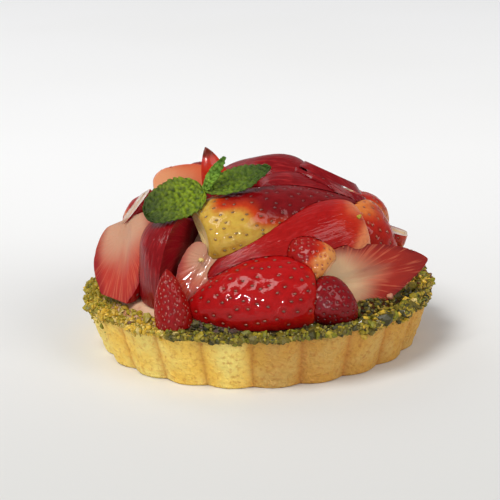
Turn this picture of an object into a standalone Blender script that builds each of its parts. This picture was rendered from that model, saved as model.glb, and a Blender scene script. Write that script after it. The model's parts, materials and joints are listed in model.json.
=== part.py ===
"""Strawberry tartlet: a fluted pastry shell, pistachio rim, pale cream, cut strawberries and a mint sprig.

Metres, +Z up. The origin is the centre of the shell's flat foot. -Y is the front, +X the right.
Run with: blender --background --python part.py
"""

import math
import random
from dataclasses import dataclass

import bmesh
import bpy
from mathutils import Matrix, Vector
from mathutils.bvhtree import BVHTree

MM = 0.001

# Driving dimensions of the shell
RIM_RADIUS = 50.0 * MM
FOOT_RADIUS = 45.2 * MM
SHELL_HEIGHT = 15.5 * MM
WALL_THICKNESS = 4.6 * MM
FLOOR_THICKNESS = 4.0 * MM
EDGE_ROUND = 0.8 * MM
FLUTE_COUNT = 22
FLUTE_DEPTH = 1.7 * MM
FLUTE_STEPS = 6
FLUTE_PHASE = math.radians(-92.9)
RIM_FLUTE_SHARE = 0.8

# Driving dimensions of the heap of fruit, and of the cream that rises to a mound under it
HEAP_RADIUS = 46.0 * MM
HEAP_FOOT = 12.0 * MM
HEAP_RISE = 43.0 * MM
HEAP_POWER = 2.5
MOUND_INSET = 13.0 * MM
MOUND_FOOT = 22.0 * MM
MOUND_RINGS = 5
CREAM_EDGE = 13.4 * MM
CREAM_SHOULDER = (41.5 * MM, 18.0 * MM)
CREAM_STEPS = 30

# Edges that meet at a sharper angle than this stay crisp
SMOOTH_DEGREES = 33

# Fits between pieces that touch
CREAM_GAP = 0.3 * MM
PIECE_GAP = 0.35 * MM
DENT_GAP = 0.85 * MM
MERGE = 0.01 * MM

# A strawberry's form: its hulled cap, its shoulder, its flattening and its slight lumps
CAP_SHARE = 0.55
SHOULDER = 0.3
TIP_ROUND = 0.75
BERRY_FLAT = 0.9
LUMP = 0.03
LUMP_TWIST = 9.0
BERRY_AROUND = 14
BERRY_RINGS = 7
DENT_AROUND = 10
DENT_RINGS = 5

# Pistachio crumbs that are large enough to be modelled on the rim
CRUMB_COUNT = 58
CRUMB_SMALLEST = 0.8 * MM
CRUMB_LARGEST = 1.4 * MM
CRUMB_CLEARANCE = 0.4 * MM
CRUMB_PROUD = 0.4 * MM
CRUMB_SPILL = 2.7 * MM
CRUMB_TOP_SHARE = 0.65
CRUMB_TRIES = 6
CRUMB_SEED = 7
CRUMB_UNEVEN = (0.8, 1.1)

# The mint sprig: its stem stands in the gap between three berries
SPRIG_FOOT = Vector((-16.5, -18.0, 39.5)) * MM
SPRIG_JOINT = Vector((-13.8, -20.5, 47.9)) * MM
STEM_RADIUS = 0.8 * MM
STEM_SIDES = 8
STEM_SPREAD = 1.25
LEAF_THICKNESS = 0.45 * MM
LEAF_LENGTH_STEPS = 10
LEAF_WIDTH_STEPS = 4
LEAF_END = 0.3 * MM
LEAF_SKEW = 0.85
LEAF_TOOTH = 0.05
LEAF_WAVE = 0.04

HALF, QUARTER, SLICE = "half", "quarter", "slice"


@dataclass(frozen=True)
class Berry:
    """A cut strawberry, in millimetres. Its axis runs from cap to tip, and its skin faces out."""

    name: str
    cap: tuple
    tip: tuple
    out: tuple
    width: float
    cut: str = HALF
    taper: float = 1.9
    spread: float = 45.0
    slab: tuple = (-2.0, 2.0)
    rest: float = 15.9


@dataclass(frozen=True)
class Leaf:
    """A mint leaf, in millimetres, from the sprig's joint to its tip, with its upper face towards up."""

    tip: tuple
    up: tuple
    width: float
    droop: float
    cup: float
    fullness: float


# The berries that show from the front. Each keeps its form, and those after it are fitted round it
FRONT_BERRIES = (
    Berry("berry_front", (15.5, -34.0, 22.7), (-20.0, -35.0, 19.0), (0.02, -0.95, 0.25), 23.0, taper=2.3),
    Berry("berry_front_left", (-21.6, -37.5, 8.0), (-24.0, -35.5, 31.0), (-0.15, -0.97, 0.2), 10.5, taper=2.2),
    Berry("berry_front_right", (13.5, -36.5, 23.5), (26.0, -37.5, 16.5), (0.3, -0.9, 0.3), 13.0, taper=2.2),
    Berry("berry_right_cut", (17.5, -34.5, 24.2), (47.3, -13.0, 24.6), (-0.56, 0.77, -0.3), 19.0, taper=1.5),
    Berry("berry_middle_small", (18.5, -33.0, 28.0), (6.5, -27.5, 35.0), (0.1, -0.9, 0.45), 12.5),
    Berry("berry_middle_long", (28.4, -15.0, 34.7), (-14.2, -31.5, 26.3), (0.1, -0.8, 0.6), 21.5, taper=2.8),
    Berry("berry_centre", (-15.2, -25.5, 36.8), (28.0, -7.0, 40.0), (-0.1, -0.75, 0.65), 21.6, taper=1.6),
    Berry("berry_middle_pale", (-11.3, -30.2, 34.1), (-20.5, -33.5, 21.0), (0.1, 0.9, -0.3), 13.5),
    Berry("berry_left_dark", (-14.9, -17.1, 39.3), (-20.9, -24.6, 7.4), (-0.85, 0.53, 0.0), 33.0,
          taper=3.0, rest=18.5),
    Berry("berry_left_pale", (-36.7, -6.3, 37.0), (-38.1, -25.3, 16.0), (0.6, 0.6, -0.35), 22.6, rest=18.5),
    Berry("berry_left_upper", (-31.0, 1.5, 43.0), (-39.0, -5.0, 33.5), (0.7, -0.05, -0.7), 16.0),
    Berry("berry_top_tip", (-10.5, 3.0, 38.0), (-13.6, -1.0, 55.8), (0.25, -0.95, 0.2), 12.5,
          QUARTER, spread=50.0),
    Berry("berry_top_left", (-28.0, 3.0, 38.5), (-5.0, 6.0, 42.0), (-0.3, -0.6, 0.75), 22.0,
          SLICE, slab=(-3.0, 5.0)),
    Berry("berry_crown_back", (14.5, 2.5, 44.0), (-12.0, 5.0, 45.5), (0.0, -0.5, 0.86), 16.0),
    Berry("berry_crown_front", (0.5, -8.0, 41.5), (26.0, -5.0, 39.5), (0.0, -0.6, 0.8), 17.0),
    Berry("berry_fan_upper", (11.0, 5.0, 43.7), (31.5, -4.0, 35.2), (0.42, 0.2, 0.88), 20.0,
          SLICE, slab=(4.6, 6.6)),
    Berry("berry_fan_middle", (10.0, 4.5, 44.0), (32.0, -5.0, 35.2), (0.42, 0.2, 0.88), 20.0,
          SLICE, slab=(2.3, 4.2)),
    Berry("berry_fan_lower", (9.0, 4.0, 44.2), (32.5, -6.0, 35.2), (0.42, 0.2, 0.88), 20.0,
          SLICE, slab=(0.0, 1.9)),
    Berry("berry_right_shoulder", (24.0, -4.5, 37.0), (36.5, -11.0, 14.0), (0.75, -0.5, 0.4), 21.5),
    Berry("berry_far_right", (43.0, 1.0, 28.0), (28.0, 3.0, 33.0), (0.1, -0.15, -1.0), 15.0),
    Berry("berry_under_mint", (-22.0, -8.5, 37.5), (1.0, -9.5, 40.0), (-0.1, -0.2, 1.0), 15.0),
)

# The berries of the far side lean inwards by this much, level ones more, when an end is this much higher
LEVEL_RISE = 10.0
LEVEL_LEAN = 1.0
STEEP_LEAN = 0.45

# The far side: name, azimuth and height of the cap and of the tip, width, inset, and whether skin is outside
BACK_BERRIES = (
    ("berry_back_1", 19.0, 16.0, 22.0, 35.0, 20.0, 9.5, True),
    ("berry_back_2", 45.0, 36.0, 43.0, 16.5, 22.0, 3.5, False),
    ("berry_back_3", 68.0, 17.0, 69.0, 38.0, 22.0, 9.0, True),
    ("berry_back_4", 92.0, 37.0, 92.0, 14.0, 23.0, 8.5, True),
    ("berry_back_5", 116.0, 16.0, 114.0, 37.0, 21.0, 3.0, False),
    ("berry_back_6", 139.0, 38.0, 141.0, 14.0, 22.0, 8.5, True),
    ("berry_back_7", 164.0, 16.0, 161.0, 35.0, 20.0, 9.0, True),
    ("berry_back_8", 38.0, 32.5, 84.0, 36.5, 19.0, 10.0, True),
    ("berry_back_9", 141.0, 35.5, 96.0, 37.5, 21.0, 10.0, True),
    ("berry_back_10", 60.0, 39.0, 125.0, 40.0, 17.0, 9.5, True),
    ("berry_back_11", 10.0, 29.0, 34.0, 34.0, 17.0, 9.0, True),
    ("berry_back_12", 168.0, 29.0, 146.0, 38.0, 17.0, 8.0, True),
)

LEAVES = (
    Leaf((-29.7, -24.0, 42.5), (-0.1, -0.69, 0.72), 12.3, 1.2, 0.8, 0.42),
    Leaf((4.4, -17.0, 52.9), (0.05, -0.45, 0.89), 9.0, -0.5, 0.8, 0.75),
    Leaf((-7.7, -20.0, 57.0), (-0.5, -0.8, 0.2), 2.8, 0.4, 0.3, 0.75),
)


def material(name, colour, roughness):
    """A plain Principled material of that colour."""
    made = bpy.data.materials.new(name)
    made.use_nodes = True
    shader = made.node_tree.nodes["Principled BSDF"]
    shader.inputs["Base Color"].default_value = (*colour, 1.0)
    shader.inputs["Roughness"].default_value = roughness
    shader.inputs["Metallic"].default_value = 0.0
    return made


def new_object(name, bm, finish=None, matrix=None, parent=None):
    """Turns a bmesh into an object of the scene."""
    mesh = bpy.data.meshes.new(name)
    bm.to_mesh(mesh)
    bm.free()
    obj = bpy.data.objects.new(name, mesh)
    bpy.context.scene.collection.objects.link(obj)
    if finish:
        mesh.materials.append(finish)
        mesh.shade_smooth()
        mesh.set_sharp_from_angle(angle=math.radians(SMOOTH_DEGREES))
    if matrix:
        obj.matrix_world = matrix
    if parent:
        obj.parent = parent
    return obj


def close_holes(bm):
    """Fills the open loops that a cut or a spin leaves, and turns the faces outwards."""
    edges = [edge for edge in bm.edges if edge.is_boundary]
    bmesh.ops.holes_fill(bm, edges=edges, sides=0)
    bmesh.ops.recalc_face_normals(bm, faces=bm.faces)


def bake_modifiers(obj):
    """Makes an object's mesh what its modifiers give, then takes them off."""
    bpy.context.view_layer.update()
    graph = bpy.context.evaluated_depsgraph_get()
    baked = bpy.data.meshes.new_from_object(obj.evaluated_get(graph), depsgraph=graph)
    obj.modifiers.clear()
    obj.data = baked


def boolean(obj, operation, others):
    """Joins others to an object or cuts them from it, and removes them from the scene."""
    group = bpy.data.collections.new("operands")
    for other in others:
        group.objects.link(other)
    modifier = obj.modifiers.new(operation.lower(), "BOOLEAN")
    modifier.operation = operation
    modifier.operand_type = "COLLECTION"
    modifier.collection = group
    bake_modifiers(obj)
    for other in others:
        bpy.data.objects.remove(other)
    bpy.data.collections.remove(group)


def keep_largest(obj):
    """Drops the loose scraps that a cut leaves beside the main body."""
    bm = bmesh.new()
    bm.from_mesh(obj.data)
    bmesh.ops.remove_doubles(bm, verts=bm.verts, dist=MERGE)
    left = set(bm.verts)
    parts = []
    while left:
        part, front = set(), [left.pop()]
        while front:
            vert = front.pop()
            part.add(vert)
            near = [edge.other_vert(vert) for edge in vert.link_edges]
            fresh = [other for other in near if other in left]
            left.difference_update(fresh)
            front.extend(fresh)
        parts.append(part)
    parts.sort(key=len)
    scraps = [vert for part in parts[:-1] for vert in part]
    bmesh.ops.delete(bm, geom=scraps, context="VERTS")
    bm.to_mesh(obj.data)
    bm.free()


def world_tree(objects):
    """A search tree of the surfaces of several objects, in the scene's own axes."""
    points, faces = [], []
    for obj in objects:
        start = len(points)
        points.extend(obj.matrix_world @ vert.co for vert in obj.data.vertices)
        faces.extend([start + index for index in face.vertices] for face in obj.data.polygons)
    return BVHTree.FromPolygons(points, faces)


def is_clear(tree, point, distance):
    """Whether a point lies outside every surface of the tree, and at least that far from it."""
    nearest, normal, _, gap = tree.find_nearest(point)
    return gap > distance and (point - nearest).dot(normal) > 0


def heap_radius(height, inset):
    """The radius at a height of the heap's rounded outline, or of the same outline further in."""
    rise = max(0.0, height - HEAP_FOOT) / (HEAP_RISE - inset)
    return (HEAP_RADIUS - inset) * (1 - min(1.0, rise) ** HEAP_POWER) ** (1 / HEAP_POWER)


def heap_point(azimuth, height, inset):
    """A point of the heap's outline, from an azimuth in degrees and a height and inset in metres."""
    turn = math.radians(azimuth)
    radius = heap_radius(height, inset)
    return Vector((radius * math.cos(turn), radius * math.sin(turn), height))


def back_berry(name, cap_azimuth, cap_height, tip_azimuth, tip_height, width, inset, skin_outside):
    """A half strawberry that lies against the far side of the heap."""
    cap = heap_point(cap_azimuth, cap_height * MM, inset * MM) / MM
    tip = heap_point(tip_azimuth, tip_height * MM, inset * MM) / MM
    middle = (cap + tip) / 2
    lean = LEVEL_LEAN if abs(cap_height - tip_height) < LEVEL_RISE else STEEP_LEAN
    outward = Vector((middle.x, middle.y, 0)).normalized() + Vector((0, 0, lean))
    out = outward if skin_outside else -outward
    return Berry(name, tuple(cap), tuple(tip), tuple(out), width)


def berry_matrix(berry):
    """Places a strawberry's own frame: Z from cap to tip, Y out through the skin."""
    cap = Vector(berry.cap)
    along = (Vector(berry.tip) - cap).normalized()
    out = Vector(berry.out)
    out = (out - along * out.dot(along)).normalized()
    turn = Matrix((out.cross(along), out, along)).transposed().to_4x4()
    return Matrix.Translation(cap * MM) @ turn


def berry_radius(share, taper):
    """A whole strawberry's radius, as a share of its largest, at a share of the way from cap to tip."""
    if share < SHOULDER:
        back = (SHOULDER - share) / SHOULDER
        return CAP_SHARE + (1 - CAP_SHARE) * math.sqrt(1 - back * back)
    onward = (share - SHOULDER) / (1 - SHOULDER)
    return (1 - onward**taper) ** TIP_ROUND


def knife_planes(berry):
    """Each cut through a strawberry, as its distance from the axis and the way that it faces."""
    if berry.cut == HALF:
        return [(0.0, Vector((0, -1, 0)))]
    if berry.cut == QUARTER:
        turn = math.radians(berry.spread)
        return [(0.0, Vector((side * math.cos(turn), -math.sin(turn), 0))) for side in (1, -1)]
    low, high = berry.slab
    return [(-low * MM, Vector((0, -1, 0))), (high * MM, Vector((0, 1, 0)))]


def slice_off(bm, point, normal):
    """Cuts away what lies past a plane, and closes the cut."""
    geometry = bm.verts[:] + bm.edges[:] + bm.faces[:]
    bmesh.ops.bisect_plane(bm, geom=geometry, plane_co=point, plane_no=normal, clear_outer=True)
    close_holes(bm)


def berry_bmesh(berry, around, rings, grow=0.0):
    """A cut strawberry in its own frame, with a flat rest at its foot, larger by grow on every side."""
    length = (Vector(berry.tip) - Vector(berry.cap)).length * MM
    radius = berry.width * MM / 2
    bm = bmesh.new()
    verts = []
    for step in range(rings + 1):
        share = (1 - math.cos(math.pi * step / rings)) / 2
        reach = radius * berry_radius(share, berry.taper) + (grow if step < rings else 0.0)
        verts.append(bm.verts.new((reach, 0, -grow + share * (length + 2 * grow))))
    edges = [bm.edges.new(pair) for pair in zip(verts, verts[1:])]
    bmesh.ops.spin(
        bm,
        geom=verts + edges,
        cent=(0, 0, 0),
        axis=(0, 0, 1),
        angle=math.tau,
        steps=around,
        use_merge=True,
    )
    bmesh.ops.remove_doubles(bm, verts=bm.verts, dist=MERGE)
    phase = berry.cap[0] + berry.tip[1]
    for vert in bm.verts:
        angle = math.atan2(vert.co.y, vert.co.x)
        twist = LUMP_TWIST * vert.co.z / length
        lump = 1 + LUMP * (math.sin(2 * angle + phase) + math.sin(3 * angle - 2 * phase + twist))
        vert.co.x *= lump
        vert.co.y *= lump * BERRY_FLAT
    close_holes(bm)
    for distance, normal in knife_planes(berry):
        slice_off(bm, normal * (distance + grow), normal)
    to_own = berry_matrix(berry).inverted()
    rest = Vector((0, 0, berry.rest * MM - grow))
    slice_off(bm, to_own @ rest, to_own.to_3x3() @ Vector((0, 0, -1)))
    return bm


def overlap_boxes(first, second, margin):
    """Whether two objects' boxes, in the scene's own axes, come within a margin of each other."""
    boxes = []
    for obj in (first, second):
        corners = [obj.matrix_world @ Vector(corner) for corner in obj.bound_box]
        boxes.append([(min(c[i] for c in corners), max(c[i] for c in corners)) for i in range(3)])
    return all(a[0] < b[1] + margin and b[0] < a[1] + margin for a, b in zip(*boxes))


def make_berries(berries, finish, parent):
    """Makes each strawberry, fitted round those before it, with the given gap."""
    made = []
    for index, berry in enumerate(berries):
        matrix = berry_matrix(berry)
        bm = berry_bmesh(berry, BERRY_AROUND, BERRY_RINGS)
        obj = new_object(berry.name, bm, finish, matrix, parent)
        bpy.context.view_layer.update()
        cutters = []
        for other, neighbour in zip(berries[:index], made):
            if overlap_boxes(obj, neighbour, PIECE_GAP):
                grown = berry_bmesh(other, BERRY_AROUND, BERRY_RINGS, PIECE_GAP)
                cutters.append(new_object("cutter", grown, matrix=berry_matrix(other)))
        if cutters:
            boolean(obj, "DIFFERENCE", cutters)
            keep_largest(obj)
        made.append(obj)
    return made


def flute_depth(angle):
    """How deep a groove is at an angle round the wall: nothing on a flute's crown, all of it between two."""
    return FLUTE_DEPTH * (1 - abs(math.sin(FLUTE_COUNT * (angle - FLUTE_PHASE) / 2)))


def ring_extrude(bm, edges, radius, height, fluted):
    """Extrudes a ring of edges to a new radius and height, with the flutes at the given share."""
    made = bmesh.ops.extrude_edge_only(bm, edges=edges)["geom"]
    for vert in (item for item in made if isinstance(item, bmesh.types.BMVert)):
        angle = math.atan2(vert.co.y, vert.co.x)
        reach = radius - fluted * flute_depth(angle)
        vert.co = (reach * math.cos(angle), reach * math.sin(angle), height)
    return [item for item in made if isinstance(item, bmesh.types.BMEdge)]


def make_shell(finish, parent):
    """The pastry shell: a flat foot, a flared fluted wall, a rounded rim and a plain inside."""
    inner_rim = RIM_RADIUS - WALL_THICKNESS
    inner_foot = FOOT_RADIUS - WALL_THICKNESS
    shoulder = RIM_RADIUS - EDGE_ROUND * (RIM_RADIUS - FOOT_RADIUS) / SHELL_HEIGHT
    waist = (FOOT_RADIUS + shoulder) / 2
    rings = (
        (FOOT_RADIUS, EDGE_ROUND, 1.0),
        (waist, SHELL_HEIGHT / 2, 1.0),
        (shoulder, SHELL_HEIGHT - EDGE_ROUND, 1.0),
        (RIM_RADIUS - EDGE_ROUND, SHELL_HEIGHT, RIM_FLUTE_SHARE),
        (inner_rim + EDGE_ROUND, SHELL_HEIGHT, 0.0),
        (inner_rim, SHELL_HEIGHT - EDGE_ROUND, 0.0),
        (inner_foot, FLOOR_THICKNESS, 0.0),
    )
    bm = bmesh.new()
    foot = FOOT_RADIUS - EDGE_ROUND
    bmesh.ops.create_circle(bm, segments=FLUTE_COUNT * FLUTE_STEPS, radius=foot)
    turn = Matrix.Rotation(FLUTE_PHASE, 3, "Z")
    bmesh.ops.rotate(bm, verts=bm.verts, cent=(0, 0, 0), matrix=turn)
    for vert in bm.verts:
        angle = math.atan2(vert.co.y, vert.co.x)
        vert.co *= (foot - flute_depth(angle)) / foot
    edges = bm.edges[:]
    for radius, height, fluted in rings:
        edges = ring_extrude(bm, edges, radius, height, fluted)
    close_holes(bm)
    return new_object("tart_shell", bm, finish, parent=parent)


def make_cream(finish, parent, berries):
    """The cream: it fills the shell and rises to a mound, dented by every berry that presses into it."""
    floor = FLOOR_THICKNESS + CREAM_GAP
    slope = (RIM_RADIUS - FOOT_RADIUS) / (SHELL_HEIGHT - EDGE_ROUND - FLOOR_THICKNESS)
    inner_foot = FOOT_RADIUS - WALL_THICKNESS - CREAM_GAP
    profile = [(inner_foot, floor), (inner_foot + slope * (CREAM_EDGE - floor), CREAM_EDGE), CREAM_SHOULDER]
    top = HEAP_FOOT + HEAP_RISE - MOUND_INSET
    for step in range(MOUND_RINGS + 1):
        height = MOUND_FOOT + (top - MOUND_FOOT) * math.sin(math.pi / 2 * step / MOUND_RINGS)
        profile.append((heap_radius(height, MOUND_INSET), height))
    bm = bmesh.new()
    verts = [bm.verts.new((radius, 0, height)) for radius, height in profile]
    edges = [bm.edges.new(pair) for pair in zip(verts, verts[1:])]
    bmesh.ops.spin(
        bm,
        geom=verts + edges,
        cent=(0, 0, 0),
        axis=(0, 0, 1),
        angle=math.tau,
        steps=CREAM_STEPS,
        use_merge=True,
    )
    bmesh.ops.remove_doubles(bm, verts=bm.verts, dist=MERGE)
    close_holes(bm)
    cream = new_object("cream_filling", bm, finish, parent=parent)
    wrap = 1 / math.cos(math.pi / DENT_AROUND)
    dents = []
    for berry in berries:
        grow = DENT_GAP + (wrap - 1) * berry.width * MM / 2
        dent = berry_bmesh(berry, DENT_AROUND, DENT_RINGS, grow)
        dents.append(new_object("dent", dent, matrix=berry_matrix(berry)))
    boolean(cream, "DIFFERENCE", dents)
    keep_largest(cream)
    return cream


def crumb_place(rng, angle, size):
    """Where a crumb sits on the rim at an angle: on the top of the wall, or just below it on the outside."""
    outer = RIM_RADIUS - flute_depth(angle) + CRUMB_PROUD - size
    inner = RIM_RADIUS - WALL_THICKNESS + EDGE_ROUND
    if rng.random() < CRUMB_TOP_SHARE:
        radius, height = rng.uniform(inner, outer), SHELL_HEIGHT
    else:
        radius, height = outer, SHELL_HEIGHT - rng.uniform(0.0, CRUMB_SPILL)
    return Vector((radius * math.cos(angle), radius * math.sin(angle), height))


def crust_crumbs(shell, berries):
    """Fuses the larger pistachio crumbs to the rim, each clear of the fruit."""
    rng = random.Random(CRUMB_SEED)
    tree = world_tree(berries)
    crumbs = []
    for index in range(CRUMB_COUNT):
        angle = math.tau * (index + rng.random()) / CRUMB_COUNT
        size = rng.uniform(CRUMB_SMALLEST, CRUMB_LARGEST)
        places = [crumb_place(rng, angle, size) for _ in range(CRUMB_TRIES)]
        clear = [place for place in places if is_clear(tree, place, size + CRUMB_CLEARANCE)]
        if not clear:
            continue
        bm = bmesh.new()
        bmesh.ops.create_icosphere(bm, subdivisions=1, radius=size)
        for vert in bm.verts:
            vert.co *= rng.uniform(*CRUMB_UNEVEN)
        turn_axis = Vector((rng.random(), rng.random(), 1)).normalized()
        turn = Matrix.Rotation(rng.uniform(0, math.tau), 4, turn_axis)
        crumbs.append(new_object("crumb", bm, matrix=Matrix.Translation(clear[0]) @ turn))
    boolean(shell, "UNION", crumbs)
    keep_largest(shell)


def leaf_bmesh(leaf):
    """A thin wavy leaf from the sprig's joint, toothed at its edge, cupped along its midrib."""
    tip = Vector(leaf.tip) * MM
    along = tip - SPRIG_JOINT
    length = along.length
    along.normalize()
    up = Vector(leaf.up)
    up = (up - along * up.dot(along)).normalized()
    side = up.cross(along)
    bm = bmesh.new()
    bmesh.ops.create_grid(bm, x_segments=LEAF_LENGTH_STEPS, y_segments=LEAF_WIDTH_STEPS, size=1.0)
    for vert in bm.verts:
        share, across = (vert.co.x + 1) / 2, vert.co.y
        half = LEAF_END + leaf.width * MM / 2 * math.sin(math.pi * share**LEAF_SKEW) ** leaf.fullness
        tooth = 1 + LEAF_TOOTH * math.cos(math.tau * share * LEAF_LENGTH_STEPS / 2)
        wave = LEAF_WAVE * math.sin(math.tau * 2 * share) * across * abs(across)
        arch = leaf.cup * across * across - leaf.droop * (2 * share - 1) ** 2 + leaf.droop
        rise = arch * MM + wave * half
        vert.co = SPRIG_JOINT + along * share * length + side * across * half * tooth + up * rise
    bmesh.ops.triangulate(bm, faces=bm.faces)
    bmesh.ops.solidify(bm, geom=bm.faces[:], thickness=LEAF_THICKNESS)
    bmesh.ops.recalc_face_normals(bm, faces=bm.faces)
    return bm


def stem_bmesh(radius):
    """The sprig's stem: a tapered rod from inside the heap to just past the joint of the leaves."""
    along = SPRIG_JOINT - SPRIG_FOOT
    bm = bmesh.new()
    bmesh.ops.create_cone(
        bm,
        cap_ends=True,
        segments=STEM_SIDES,
        radius1=radius,
        radius2=radius * STEM_SPREAD,
        depth=along.length + radius,
    )
    turn = along.to_track_quat("Z", "Y").to_matrix()
    bmesh.ops.rotate(bm, verts=bm.verts, cent=(0, 0, 0), matrix=turn)
    bmesh.ops.translate(bm, verts=bm.verts, vec=(SPRIG_FOOT + SPRIG_JOINT) / 2)
    return bm


def make_sprig(finish, parent):
    """The mint sprig: three leaves joined to one stem."""
    sprig = new_object("mint_sprig", stem_bmesh(STEM_RADIUS), finish, parent=parent)
    boolean(sprig, "UNION", [new_object("leaf", leaf_bmesh(leaf)) for leaf in LEAVES])
    keep_largest(sprig)


def clear_of_stem(objects):
    """Leaves room for the sprig's stem in the berries and the cream that it passes."""
    for obj in objects:
        hole = new_object("hole", stem_bmesh(STEM_RADIUS + PIECE_GAP))
        bpy.context.view_layer.update()
        if overlap_boxes(obj, hole, 0.0):
            boolean(obj, "DIFFERENCE", [hole])
            keep_largest(obj)
        else:
            bpy.data.objects.remove(hole)


def main():
    """Builds the tartlet in an emptied scene."""
    for obj in list(bpy.data.objects):
        bpy.data.objects.remove(obj)
    pastry = material("pastry", (0.76, 0.50, 0.17), 0.75)
    cream = material("cream", (0.80, 0.60, 0.42), 0.55)
    fruit = material("strawberry", (0.55, 0.03, 0.02), 0.2)
    mint = material("mint", (0.10, 0.25, 0.03), 0.5)
    tartlet = bpy.data.objects.new("tartlet", None)
    bpy.context.scene.collection.objects.link(tartlet)

    berries = FRONT_BERRIES + tuple(back_berry(*row) for row in BACK_BERRIES)
    made = make_berries(berries, fruit, tartlet)
    filling = make_cream(cream, tartlet, berries)
    clear_of_stem(made + [filling])
    make_sprig(mint, tartlet)
    crust_crumbs(make_shell(pastry, tartlet), made)


main()
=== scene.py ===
"""Looks of a strawberry tartlet: glazed cut strawberries, pistachio crumbs, cream, mint and a fluted crust.

Metres, +Z up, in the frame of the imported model. -Y is the front of the tartlet, +X its right.
"""

import json
import logging
import math
import random
from dataclasses import dataclass, replace
from enum import Enum

import bmesh
import bpy
import numpy as np
from mathutils import Matrix, Vector, noise
from mathutils.bvhtree import BVHTree

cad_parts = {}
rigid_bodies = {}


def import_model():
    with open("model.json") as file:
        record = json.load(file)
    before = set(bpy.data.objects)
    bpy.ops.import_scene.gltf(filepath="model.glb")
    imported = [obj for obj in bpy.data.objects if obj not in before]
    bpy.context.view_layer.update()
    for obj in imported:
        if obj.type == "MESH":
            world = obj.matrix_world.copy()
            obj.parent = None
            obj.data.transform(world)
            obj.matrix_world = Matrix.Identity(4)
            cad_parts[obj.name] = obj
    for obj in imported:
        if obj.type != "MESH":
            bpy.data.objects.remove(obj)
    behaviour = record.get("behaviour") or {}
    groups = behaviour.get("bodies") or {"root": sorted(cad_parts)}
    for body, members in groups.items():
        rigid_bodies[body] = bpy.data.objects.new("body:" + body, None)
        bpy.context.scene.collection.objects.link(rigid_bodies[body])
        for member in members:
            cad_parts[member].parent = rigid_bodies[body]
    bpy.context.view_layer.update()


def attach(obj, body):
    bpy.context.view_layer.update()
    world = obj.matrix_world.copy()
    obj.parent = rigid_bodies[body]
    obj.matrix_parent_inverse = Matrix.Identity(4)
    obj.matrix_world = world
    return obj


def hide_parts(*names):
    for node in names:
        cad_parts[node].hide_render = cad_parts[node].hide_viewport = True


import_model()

LOG = logging.getLogger("tartlet")
MM = 0.001
GOLDEN_TURN = math.pi * (3 - math.sqrt(5))
CLOSE_PACKED = 0.866

Point = tuple[float, float, float]
Colour = tuple[float, float, float]
Arc = tuple[float, float, float, float]
Outline = list[tuple[float, float]]
Socket = bpy.types.NodeSocket
Material = bpy.types.Material
Mesh = bpy.types.Mesh
Object = bpy.types.Object


def linear(red: int, green: int, blue: int) -> Colour:
    """The scene-linear colour of an 8-bit display colour."""
    shares = (value / 255 for value in (red, green, blue))
    return tuple(s / 12.92 if s <= 0.04045 else ((s + 0.055) / 1.055) ** 2.4 for s in shares)


def ease(low: float, high: float, value: np.ndarray) -> np.ndarray:
    """A smooth step from 0 at low to 1 at high."""
    share = np.clip((value - low) / (high - low), 0.0, 1.0)
    return share * share * (3 - 2 * share)


def between(arc: Arc, turn: np.ndarray) -> np.ndarray:
    """A share for azimuths in degrees: 1 within an arc, fading to 0 outside it.

    Args:
        arc: the azimuths where the share leaves 0, reaches 1, leaves it and is 0 again.
        turn: the azimuths.

    Returns:
        The share of each azimuth.
    """
    start, full, fade, end = arc
    return ease(start, full, turn) * (1 - ease(fade, end, turn))


def mixed(first: np.ndarray, second: np.ndarray, share: np.ndarray) -> np.ndarray:
    """Rows of colours between two others, each by its own share."""
    return first + (np.asarray(second) - first) * share[:, None]


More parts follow.
